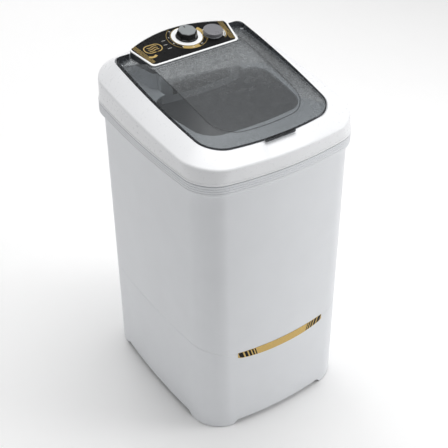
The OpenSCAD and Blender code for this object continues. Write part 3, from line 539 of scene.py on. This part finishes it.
SLOT_FINISH = {
    "white_shell": shell_pp, "tub_shell": shaded_tub_pp, "smoked_lid": lid_san, "island_grey": island_abs,
    "trim_white": trim_abs, "fascia_black": fascia_film, "knob_black": knob_abs, "knob_grey": knob_grey,
    "filter_dark": dark_pp, "mesh_nylon": mesh_nylon, "badge_gold": badge_foil, "rubber_black": foot_rubber,
    "steel": steel, "cast_alloy": alloy, "copper_wire": winding_wire, "grey_plastic": housing_pp,
    "bracket_paint": bracket_paint,
}
NODE_FINISH = {"drive_belt": belt_rubber, "motor_core": core_steel, "motor_rotor": core_steel,
               "wiring_loom": conduit_pvc, "filter_housing": deck_pp, "base_tray": housing_pp}


# ---------------------------------------------------------------- cabinet
def foot_arch(x, y):
    """The bottom edge stands on four corner feet and rises between them."""
    return 2 + 14 * max(clamp((158 - abs(x)) / 10), clamp((190 - abs(y + 12)) / 10))


def seam_z(x, y):
    """Shallow step line round the lower front, sagging under the badge."""
    return 306 - 24 * ease((250 - abs(x)) / 110) if y < 0 else 306


def cabinet_ring(z, inset=0.0):
    low, high = cabinet_line(0, inset), cabinet_line(1, inset)
    ring = []
    for (x0, y0), (x1, y1) in zip(low, high):
        height = z(x0, y0) if callable(z) else z
        t = (height - 2) / (LIP_BOTTOM - 8)
        ring.append(Vector((lerp(x0, x1, t), lerp(y0, y1, t), height)))
    return ring


def build_cabinet():
    def seam(rise, depth):
        """One edge of the step line, by its height from the line and its depth in the wall."""
        return cabinet_ring(lambda x, y: seam_z(x, y) + rise, depth)

    lines = [(cabinet_ring(foot_arch, 0.0), 1.2), (cabinet_ring(60), 0), (cabinet_ring(180), 0),
             (seam(-5, 0), 0), (seam(-1.6, 0), 0.8), (seam(-0.6, 0.7), 0.4), (seam(0.5, 0.7), 0.4),
             (seam(1.4, 0), 0.8), (seam(6, 0), 0), (cabinet_ring(420), 0),
             (cabinet_ring(560), 0), (cabinet_ring(700), 0),
             (cabinet_ring(LIP_BOTTOM - 6), 3), (lift(seat(0), LIP_BOTTOM), 1.6)]
    for z in LIP_GROOVES:
        lines += [(lift(seat(0), z - 2.0), 0.5), (lift(seat(2.0), z - 0.2), 0.3),
                  (lift(seat(2.0), z + 0.5), 0.3), (lift(seat(0), z + 0.9), 0.4)]
    lines += [(lift(seat(0), LIP_TOP), 1.4), (lift(seat(WALL), LIP_TOP), 0.6),
              (lift(seat(WALL), LIP_BOTTOM + 3), 1), (cabinet_ring(LIP_BOTTOM - 6, WALL), 2),
              (cabinet_ring(420, WALL), 0), (cabinet_ring(foot_arch, WALL), 1)]
    pads = [pad(sx * FOOT_X, FOOT_MID + sy * FOOT_Y) for sx in (-1, 1) for sy in (-1, 1)]
    shell = piece("cabinet_shell", loft(rounded(lines), closed=True), shell_pp,
                  stands_for=("cabinet",))
    cut(shell, rear_hole(OUTLET_X, 16.6), rear_hole(-OUTLET_X, 9.2))
    plates = piece("cabinet_foot_pads", joined(*[plate for plate, boss in pads]), shell_pp)
    cut(plates, column(cabinet_line(0, WALL - 1), 0, 60), keep_inside=True)
    piece("cabinet_screw_bosses", joined(*[boss for plate, boss in pads]), shell_pp)


def pad(x, y):
    """Floor plate of one corner foot, with the boss that takes the base screw."""
    ring = [(x + px, y + py) for px, py in rounded_box(38, 44, 8)]
    plate = block([(lift(ring, 4.4), 0.8), (lift(ring, 8.2), 0.8)])
    boss = turned([(2.3, 8.3, 0.2), (8, 8.3, 0.5), (8, 19.9, 0.5), (2.3, 19.9, 0.4)], (x, y), 32,
                  closed=True)
    return plate, boss


def rounded_box(a, b, r, n=6):
    """Mirrored rounded rectangle about the origin, counter-clockwise from the middle of the front."""
    half = [(0, -b)] + [(a - r + r * math.sin(TAU / 4 * i / n), -b + r - r * math.cos(TAU / 4 * i / n))
                        for i in range(n + 1)]
    half += [(a - r + r * math.cos(TAU / 4 * i / n), b - r + r * math.sin(TAU / 4 * i / n))
             for i in range(n + 1)]
    half += [(0, b)]
    return half + [(-x, y) for x, y in reversed(half[1:-1])]


def tube(rings):
    """Closed tube through two rings, with a flat face on each end."""
    points, faces = loft(rings)
    n = len(rings[0])
    return points, faces + [tuple(range(n)), tuple(range(n, 2 * n))]


def rear_hole(x, r):
    """Cylinder along Y through the rear wall, at the height of the outlet and gland."""
    return tube([[Vector((x + r * math.cos(TAU * k / 48), y, REAR_HOLE_Z + r * math.sin(TAU * k / 48)))
                  for k in range(48)] for y in (230, 340)])


# ---------------------------------------------------------------- wash tub and pulsator
def build_tub():
    stations = [(lift(tub_line(0, 40), TUB_UNDER), 6), (lift(tub_line(0, 12), TUB_UNDER + 10), 10),
                (lift(tub_line(0), TUB_UNDER + 36), 12), (lift(tub_line(1), LIP_TOP), 0.6),
                (lift(seat(1.2), LIP_TOP), 0.4), (lift(seat(1.2), SEAT_Z), 0.8),
                (lift(tub_line(1, WALL), SEAT_Z), 2), (lift(tub_line(0, WALL), TUB_FLOOR + 36), 14),
                (lift(tub_line(0, 12 + WALL), TUB_FLOOR + 10), 10),
                (lift(tub_line(0, 40 + WALL), TUB_FLOOR), 6)]
    tub = piece("wash_tub_shell", block(stations, 5), shaded_tub_pp,
                stands_for=("wash_tub",))
    for x, y, r in ((0, DRIVE_Y, 20), (OUTLET_X, DRAIN_Y, 20.1)):
        cut(tub, tube([circle(x, y, r, z, 48) for z in (TUB_FLOOR - 20, TUB_FLOOR + 10)]))


def vane_height(r, a):
    """Six swept vanes that rise from the dish and fade out before its rim."""
    turn = (a + 0.35 * r / 165) % (TAU / 6) - TAU / 12
    side = math.exp(-((turn * r) / 7.5) ** 2)
    return 16 * side * ease((r - 30) / 18) * ease((148 - r) / 60)


def build_pulsator():
    count = 180
    rings = [circle(0, DRIVE_Y, r, 336, count) for r in (2.5, 7)]
    for r in [7.1, 12, 20, 28, *range(34, 50, 4), 50, 56, *range(64, 142, 8), 142, 148, 153, 157]:
        base = 315 - 4.0 * clamp((r - 48) / 112) if r > 48 else lerp(315, 336, ease((48 - r) / 20))
        base = base + 4 * ease((26 - r) / 16)
        dish = circle(0, DRIVE_Y, r, base, count)
        for k, point in enumerate(dish):
            point.z = min(339.9, base + vane_height(r, TAU * k / count))
        rings.append(dish)
    rings += [circle(0, DRIVE_Y, r, z, count) for r, z in (
        (159, 310.9), (162.5, 310.2), (164.6, 309), (165, 307), (164.6, 305.6), (163, 305), (157, 303.2),
        (6.1, 306))]
    piece("pulsator_dish", loft(rings), shaded_tub_pp, body="agitator_drive", stands_for=("agitator",),
          sharp=50)


# ---------------------------------------------------------------- top cover
def build_cover():
    edge = rear_room(lid_line(-LID_GAP))
    edge_in = rear_room(lid_line(-LID_GAP + 0.5))
    back = rear_room(lid_line(-LID_GAP - WALL))
    stations = [
        (lift(seat(0), SEAT_Z), 0.8),
        (lift(seat(0), SEAT_Z + 3), 1.0),
        (lift(seat(2.2), SEAT_Z + 4.6), 0.8),
        (lift(crease(0), lambda x, y: 933.4 + 0.057 * y), 6),
        (lift(edge, seat_edge_z), 2.6),
        (lift(edge_in, ledge_z), 1.4),
        (lift(lid_line(9), ledge_z), 2.0),
        (lift(lid_line(11), DECK_Z), 5),
        (lift(opening_line(-7), DECK_Z), 2),
        (lift(opening_line(-4), DECK_Z + 0.8), 1.2),
        (lift(opening_line(0), DECK_Z + 0.8), 1.2),
        (lift(opening_line(0), DECK_Z - 6), 1.2),
        (lift(opening_line(-2.6), DECK_Z - 6), 0.6),
        (lift(opening_line(-3), DECK_Z - WALL), 1),
        (lift(lid_line(11 - WALL), DECK_Z - WALL), 3),
        (lift(lid_line(9 - WALL), below(ledge_z, WALL)), 1),
        (lift(back, below(ledge_z, WALL)), 1),
        (lift(rear_room(lid_line(-LID_GAP - WALL - 1)), below(seat_edge_z, WALL + 1)), 1),
        (lift(crease(WALL), lambda x, y: 930.2 + 0.057 * y), 12),
        (lift(seat(WALL), SEAT_Z), 0.6),
    ]
    cover = piece("top_cover_shell", loft(rounded(stations, 5), closed=True), cover_pp,
                  stands_for=("top_cover",))
    notch = [(x, y + 87.5) for x, y in rounded_box(128.5, 34, 4)]
    cut(cover, column(island_plan(1.2), DECK_Z + 6, 1200), column(island_plan(-0.4), ISLAND_Z, 1200),
        column(notch, DECK_Z - 8, DECK_Z + 3))
    shelf = [(lift(island_plan(0), DECK_Z - 1), 0), (lift(island_plan(0), ISLAND_Z), 0.8),
             (lift(island_plan(6), ISLAND_Z), 0.8), (lift(island_plan(6), DECK_Z - 1), 0)]
    piece("island_pedestal", loft(rounded(shelf), closed=True), cover_pp)


# ---------------------------------------------------------------- lid
def build_lid():
    stations = [
        (lift(crown_line(3), below(crown_z, LID_T)), 0),
        (lift(crown_line(0), below(crown_z, LID_T)), 3),
        (lift(lid_line(3.6), below(floor_z, LID_T)), 0.3),
        (lift(lid_line(3.6), below(floor_z, 0.2)), 0.3),
        (lift(lid_line(4.6), floor_z), 2.5),
        (lift(crown_line(0), crown_z), 1.6),
        (lift(crown_line(2.4), crown_z), 0),
    ]
    wall = [
        (lift(lid_line(3.5), below(floor_z, LID_T)), 0.4),
        (lift(lid_line(0), below(floor_z, LID_T)), 0.8),
        (lift(lid_line(0), rim_z), 1.2),
        (lift(lid_line(3), rim_z), 1.0),
        (lift(lid_line(3.5), below(floor_z, -0.6)), 0.2),
    ]
    lid = piece("smoke_lid", loft(rounded(stations), first_cap=True, last_cap=True), lid_san,
                body="lid_body", stands_for=("lid",), sharp=24)
    side, far = ISLAND_R + 1.5, 420
    swing = [(0, ISLAND_Y0 + 12), (ISLAND_F, ISLAND_Y0 + 12), (side, HINGE_Y - 33), (side, far),
             (0, far), (-side, far), (-side, HINGE_Y - 33), (-ISLAND_F, ISLAND_Y0 + 12)]
    island_room = [column(plan, 700, 1300) for plan in (island_plan(-3.5), swing)]
    cut(lid, *island_room, sharp=24)
    rim = piece("smoke_lid_rim", loft(rounded(wall), closed=True), lid_edge_and_crease_shade, body="lid_body",
                sharp=24)
    cut(rim, *island_room, sharp=24)
    # Darker strip of the edge styrene along the crown's crease: painted shade of the crease
    line = [(lift(crown_line(-0.9), below(crown_z, 0.35)), 0),
            (lift(crown_line(0), below(crown_z, -0.12)), 0.3),
            (lift(crown_line(0.9), below(crown_z, 0.1)), 0)]
    crease_line = piece("lid_crease_painted_shade", loft(rounded(line), closed=True), lid_edge_and_crease_shade, body="lid_body")
    cut(crease_line, *island_room)
    tab_line = [(x, y * 0.5 + LID_FRONT_Y - 4) for x, y in rounded_box(47, 9, 6)]
    tab = [(lift(tab_line, LID_FRONT_Z - 2.4), 1.2), (lift(tab_line, LID_FRONT_Z + 4.2), 1.6)]
    piece("lid_finger_tab", block(tab), lid_edge_and_crease_shade, body="lid_body")


# ---------------------------------------------------------------- control island
def stroke(path, width):
    """Flat printed line along face points."""
    left, right = [], []
    for i, p in enumerate(path):
        before, after = Vector(path[max(0, i - 1)]), Vector(path[min(len(path) - 1, i + 1)])
        along = (after - before).normalized()
        side = Vector((-along.y, along.x)) * width / 2
        left.append(Vector(p) + side)
        right.append(Vector(p) - side)
    height = -FACE_DROP + RAISED_PRINT
    points = [FACE @ Vector((p.x, p.y, height)) for p in left + right]
    n = len(path)
    return points, [(i, i + 1, n + i + 1, n + i) for i in range(n - 1)]


def arc(centre, r, start, stop, width, steps=40):
    """Printed arc on the face; angles in degrees, counter-clockwise from the machine's right."""
    turns = [math.radians(lerp(start, stop, k / steps)) for k in range(steps + 1)]
    return stroke([(centre[0] + r * math.cos(a), centre[1] + r * math.sin(a)) for a in turns], width)


def numeral(text, centre, size):
    """Printed minute number, from the built-in font's outline turned into a flat mesh."""
    curve = bpy.data.curves.new("numeral", "FONT")
    curve.body, curve.size, curve.align_x, curve.align_y = text, size, "CENTER", "CENTER"
    curve.resolution_u = 3
    shown = bpy.data.objects.new("numeral", curve)
    bpy.context.scene.collection.objects.link(shown)
    bpy.context.view_layer.update()
    mesh = shown.evaluated_get(bpy.context.evaluated_depsgraph_get()).to_mesh()
    height = -FACE_DROP + RAISED_PRINT + 0.02
    points = [FACE @ Vector((v.co.x + centre[0], v.co.y + centre[1], height)) for v in mesh.vertices]
    faces = [tuple(p.vertices) for p in mesh.polygons]
    bpy.data.objects.remove(shown)
    return points, faces


def trim_inner(inset):
    """Inside of the white frame: wide along the front and sides, a bare edge at the back."""
    wide, thin = island_plan(inset), island_plan(0.9)
    return [(lerp(p[0], q[0], t), lerp(p[1], q[1], t))
            for p, q, t in ((p, q, ease((p[1] - ISLAND_Y1 + 16) / 12)) for p, q in zip(wide, thin))]


def build_island():
    skirt = [(lift(island_plan(0), ISLAND_Z), 0.4), (lift(island_plan(0), face_z(3)), 0.3),
             (lift(island_plan(3), face_z(3)), 0.3), (lift(island_plan(3), ISLAND_Z), 0.3)]
    piece("island_skirt", loft(rounded(skirt, 3), closed=True), island_abs,
          stands_for=("island_housing",))
    trim = [(lift(island_plan(0.2), face_z(2.95)), 0.4), (lift(island_plan(0.2), face_z(0)), 1.6),
            (lift(trim_inner(TRIM_W), face_z(0)), 1.2), (lift(trim_inner(TRIM_W), face_z(2.95)), 0.3)]
    piece("island_frame", loft(rounded(trim, 5), closed=True), trim_abs,
          stands_for=("island_trim",))
    panel = [(lift(trim_inner(TRIM_W + 0.2), face_z(2.9)), 0),
             (lift(trim_inner(TRIM_W + 0.2), face_z(FACE_DROP)), 0.3),
             (lift(trim_inner(TRIM_W + 1.2), face_z(FACE_DROP)), 0)]
    face = piece("fascia_panel", loft(rounded(panel), first_cap=True, last_cap=True), fascia_film,
                 stands_for=("island_fascia",))
    for centre, r in ((TIMER, 6), (CAP, 25.2)):
        cut(face, tube([[FACE @ p for p in circle(*centre, r, z, 64)] for z in (-9, 6)]))
    band = [(31.5, -1.5, 0), (31.5, -0.8, 0.3), (44, -0.8, 0.3), (44, -1.5, 0)]
    piece("dial_band", turned(band, TIMER, on=FACE), trim_abs, stands_for=("dial_ring",))
    build_prints()


def build_prints():
    gold = [arc(TIMER, 45.6, 0, 360, 1.1, 96), arc(TIMER, 57.2, 118, 330, 0.9, 60),
            arc(TIMER, 51.4, 228, 282, 10.6, 24), arc(TIMER, 51.4, 344, 386, 10.6, 24),
            arc(CAP, 38.6, -58, 36, 1.3), arc(CAP, 31.6, 140, 214, 1.2)]
    for side in (-1, 1):
        for k in range(5):
            inset = 9.6 + 2.9 * k
            low = (side * (ISLAND_F - inset + 1.4), ISLAND_Y0 + 12 + 1.2 * k)
            high = (side * (ISLAND_R - inset - 1.5), ISLAND_Y1 - 2 + 1.4 * k)
            gold.append(stroke([low, high], 0.9))
    ring = [(-96 + x, 194 + y) for x, y in rounded_box(26, 17, 16, 12)]
    gold.append(stroke(ring + ring[:2], 2.8))
    for k in range(3):
        wave = [(-96 + t, 194 + (k - 1) * 8 + 2.2 * math.sin(t / 15 * math.pi)) for t in range(-15, 16)]
        gold.append(stroke(wave, 2.4))
    ribbon = [(-126 + 24 * t / 8, 164 - 4.6 * math.sin(math.pi * t / 8)) for t in range(9)]
    gold.append(stroke(ribbon, 7.5))
    piece("fascia_gold_print", joined(*gold), gold_foil, sharp=60)
    white = [arc(CAP, 30.6, -52, 40, 2.2), arc(CAP, 34.6, -54, 34, 1.8), arc(CAP, 30.2, 116, 136, 2.2)]
    for k, (x, y) in enumerate(((-52, 213), (-56, 194), (-54, 175))):
        white.append(stroke([(x - 6, y), (x + 6, y - 1)], 0.9))
    def on_dial(r, minute):
        a = math.radians(128 + 11 * minute)
        return TIMER[0] + r * math.cos(a), TIMER[1] + r * math.sin(a)

    white += [numeral(str(minute), on_dial(51.3, minute), 7.5) for minute in range(0, 16, 3)]
    white += [stroke([on_dial(46.4, minute), on_dial(48, minute)], 0.5) for minute in range(16)]
    piece("fascia_white_print", joined(*white), white_ink, sharp=60)


def eight_sided(a, z):
    """Softened octagon above the knob's round skirt."""
    if z < 2.9:
        return 1.0
    turn = (a + TAU / 16) % (TAU / 8) - TAU / 16
    flat = math.cos(TAU / 16) / math.cos(turn)
    return lerp(1.0, flat * 1.02, 0.85)


def build_knobs():
    skirt = [(3.1, -1.0, 0), (30.4, -1.0, 0.3), (30.4, 2.4, 0.8), (29.6, 3.2, 0.5), (26.6, 18.4, 1.2),
             (25.0, 18.9, 0.4), (24.8, 18.2, 0.3), (3.1, 18.2, 0)]
    piece("timer_knob_body", turned(skirt, TIMER, 128, FACE, eight_sided), knob_abs, body="timer",
          stands_for=("timer_knob",), sharp=18)
    top = [(0, 18.3, 0), (24.6, 18.3, 0.2), (24.6, 20.2, 0.9), (18, 20.7, 1), (0, 20.5, 0)]
    piece("timer_knob_cap", turned(top, TIMER, 128, FACE, eight_sided), knob_grey, body="timer",
          stands_for=("knob_insert",), sharp=18)
    mark = [FACE @ Vector((TIMER[0] + x, TIMER[1] + y, z)) for z in (20.0, 20.8)
            for x, y in ((-1.5, 11.5), (1.5, 11.5), (1.5, 19.6), (-1.5, 19.6))]
    sides = [(0, 1, 5, 4), (1, 2, 6, 5), (2, 3, 7, 6), (3, 0, 4, 7), (4, 5, 6, 7), (0, 3, 2, 1)]
    piece("timer_pointer", (mark, sides), black_ink, body="timer")
    cap = [(0, 10.6, 0), (20, 10.7, 1.2), (23.4, 11, 1.2), (27.6, 10.8, 2.2), (28, 1.2, 0.5), (26, 1.2, 0.5),
           (26, 9, 0.8), (23.1, 9, 0.5), (22.8, -6, 0.6), (21.4, -6, 0.5), (21.4, 8.6, 0.5), (0, 8.6, 0)]
    piece("softener_cap_cup", turned(cap, CAP, 96, FACE), cap_grey, body="softener_lid",
          stands_for=("softener_cap",))


# ---------------------------------------------------------------- filter
def bowed(half_w, y, bow, back):
    """Mirrored plan with a bowed front."""
    half = [(half_w * i / 20, y + bow * (i / 20) ** 2) for i in range(21)]
    half += [(half_w, lerp(y + bow, back, k / 4)) for k in range(1, 5)]
    half += [(half_w * (1 - k / 8), back) for k in range(1, 9)]
    return half + [(-x, y) for x, y in reversed(half[1:-1])]


def build_filter():
    front, low, top = ISLAND_Y0 - 27, DECK_Z - 41, ISLAND_Z - 1
    rings = [(lift(bowed(127, front, 11, ISLAND_Y0), low), 1.2)]
    for k in range(9):
        a = TAU / 4 * k / 8
        y = front + 28 * (1 - math.cos(a)) * 0.9
        rings.append((lift(bowed(127 - 5 * (1 - math.cos(a)), y, 11 * math.cos(a), ISLAND_Y0),
                           top - 26 + 26 * math.sin(a)), 0))
    shell = piece("filter_shell", block(rings), deck_pp, stands_for=("filter_housing",))
    inner = column(bowed(124, front + 3, 11, ISLAND_Y0 - 3), low + 3, top - 22)
    window = [(x, y + front) for x, y in rounded_box(93, 12, 1)]
    slots = [column([(side * 60 + x, front + 20 + y) for x, y in rounded_box(20, 3, 2)], low - 4, low + 6)
             for side in (-1, 1)]
    cut(shell, inner, column(window, low + 23, low + 58), *slots)
    plan = bowed(92.2, front - 1.4, 11 * (93 / 127) ** 2, front + 9)
    door = block([(lift(plan, low + 23.4), 2), (lift(plan, low + 57.6), 1.2)])
    piece("filter_cassette_door", door, dark_pp, body="filter")
    bars = []
    for k in range(-6, 7):
        bow = 5.28 * (k / 6) ** 2
        rib = [(k * 13 + x, front + bow - 1.9 + y) for x, y in rounded_box(1.1, 1.4, 0.6, 3)]
        bars.append(block([(lift(rib, low + 29), 0.4), (lift(rib, low + 52), 0.4)]))
    piece("filter_cassette_ribs", joined(*bars), dark_pp, body="filter")


# ---------------------------------------------------------------- badge
def front_wall(x, z):
    t = (z - 2) / (LIP_BOTTOM - 8)
    a, b = SEAT_A - LIP - 2.6 * (1 - t), SEAT_B - 9
    return -b - (FRONT_BOW - 4.5 * (1 - t)) * (1 - (x / a) ** 2) - 3 - LEAN * (1 - t)


def badge_strip(x0, x1, low, high, out, steps=40, lean_in=0.0):
    """Strip on the front wall between two curves of height, standing out from it."""
    rows = []
    for f, lift_out in ((0.0, 0.0), (0.0, out), (1.0, out), (1.0, 0.0)):
        row = []
        for k in range(steps + 1):
            x = lerp(x0, x1, k / steps)
            z = lerp(low(x), high(x), f)
            slant = x + lean_in * (z - BADGE_Z)
            row.append(Vector((slant, front_wall(slant, z) - lift_out, z)))
        rows.append(row)
    n = steps + 1
    points = [p for row in rows for p in row]
    faces = [(i * n + k, i * n + k + 1, (i + 1) * n + k + 1, (i + 1) * n + k)
             for i in range(3) for k in range(steps)]
    faces += [(0, n, 2 * n, 3 * n), (steps, n + steps, 2 * n + steps, 3 * n + steps)]
    return points, faces


def badge_low(x):
    return 254.5 + 11 * (abs(x) / BADGE_W) ** 2.6 + 3 * ease((abs(x) - 138) / 9)


def badge_high(x):
    return 281.6 + 4 * (abs(x) / BADGE_W) ** 2


def build_badge():
    piece("badge_plate", badge_strip(-BADGE_W, BADGE_W, badge_low, badge_high, 0.55, 96), badge_foil,
          stands_for=("front_badge",))
    bars = []
    for side in (-1, 1):
        x = 145.5
        for k, width in enumerate((13, 8.5, 6.6, 5.0, 3.6)):
            near, far = side * (x - width), side * x
            bars.append(badge_strip(min(near, far), max(near, far), lambda v: badge_low(v) + 0.5,
                                    lambda v: badge_high(v) - 0.5, 0.72, 6, 0.3 * side))
            x -= width + 4.6 - 0.3 * k
    piece("badge_bars", joined(*bars), black_ink)


# ---------------------------------------------------------------- pieces carried over from CAD
def dress_frame():
    """Gives every carried-over CAD piece its finish; edges over 32 degrees stay crisp."""
    slots = {part["node"]: part["material_slot"] for part in frame["record"]["subparts"]}
    for name, node in frame["nodes"].items():
        node.data.materials.clear()
        node.data.materials.append(NODE_FINISH.get(name) or SLOT_FINISH[slots[name]])
        node.data.shade_smooth()
        node.data.set_sharp_from_angle(angle=math.radians(32))


# ---------------------------------------------------------------- studio
def studio():
    floor_mat = moulded("studio_floor", "FFFFFF", rough=0.8, spark=4, drift=0.004)
    size, rim = 9.0, 48
    mesh = bpy.data.meshes.new("studio_floor")
    points = [(size * math.cos(TAU * k / rim), size * math.sin(TAU * k / rim), -0.0004) for k in range(rim)]
    mesh.from_pydata(points, [], [tuple(range(rim))])
    mesh.materials.append(floor_mat)
    floor = bpy.data.objects.new("studio_floor", mesh)
    bpy.context.scene.collection.objects.link(floor)
    scene = bpy.context.scene
    world = bpy.data.worlds.new("studio")
    scene.world = world
    world.use_nodes = True
    back = world.node_tree.nodes["Background"]
    back.inputs["Color"].default_value = linear("FFFFFF")
    back.inputs["Strength"].default_value = 0.39
    scene.view_settings.view_transform = "Standard"
    scene.view_settings.look = "None"
    for name, place, energy, width in (
            ("key", (3.1, -2.3, 1.9), 52, 2.0), ("top", (0.5, 0.2, 3.8), 70, 2.6),
            ("left", (-3.2, 1.6, 1.3), 9, 1.8), ("rear", (0.6, 3.4, 2.2), 26, 2.4)):
        light = bpy.data.lights.new(name, "AREA")
        light.shape, light.size, light.energy = "DISK", width, energy
        lamp = bpy.data.objects.new(name, light)
        lamp.location = place
        aim = Vector((0, 0, 0.55)) - Vector(place)
        lamp.rotation_euler = aim.to_track_quat("-Z", "Y").to_euler()
        scene.collection.objects.link(lamp)
    azimuth, elevation = math.radians(-33.832), math.radians(37.479)
    back_axis = Vector((math.sin(azimuth) * math.cos(elevation), -math.cos(azimuth) * math.cos(elevation),
                        math.sin(elevation)))
    right = Vector((math.cos(azimuth), math.sin(azimuth), 0))
    up = back_axis.cross(right)
    lens = bpy.data.cameras.new("view")
    lens.lens, lens.sensor_width, lens.clip_end = 85.63, 36, 60
    camera = bpy.data.objects.new("view", lens)
    camera.matrix_world = Matrix((
        (right.x, up.x, back_axis.x, -1.3742), (right.y, up.y, back_axis.y, -2.0598),
        (right.z, up.z, back_axis.z, 2.3869), (0, 0, 0, 1)))
    scene.collection.objects.link(camera)
    scene.camera = camera


dress_frame()
build_cabinet()
build_tub()
build_pulsator()
build_cover()
build_lid()
build_island()
build_knobs()
build_filter()
build_badge()
studio()
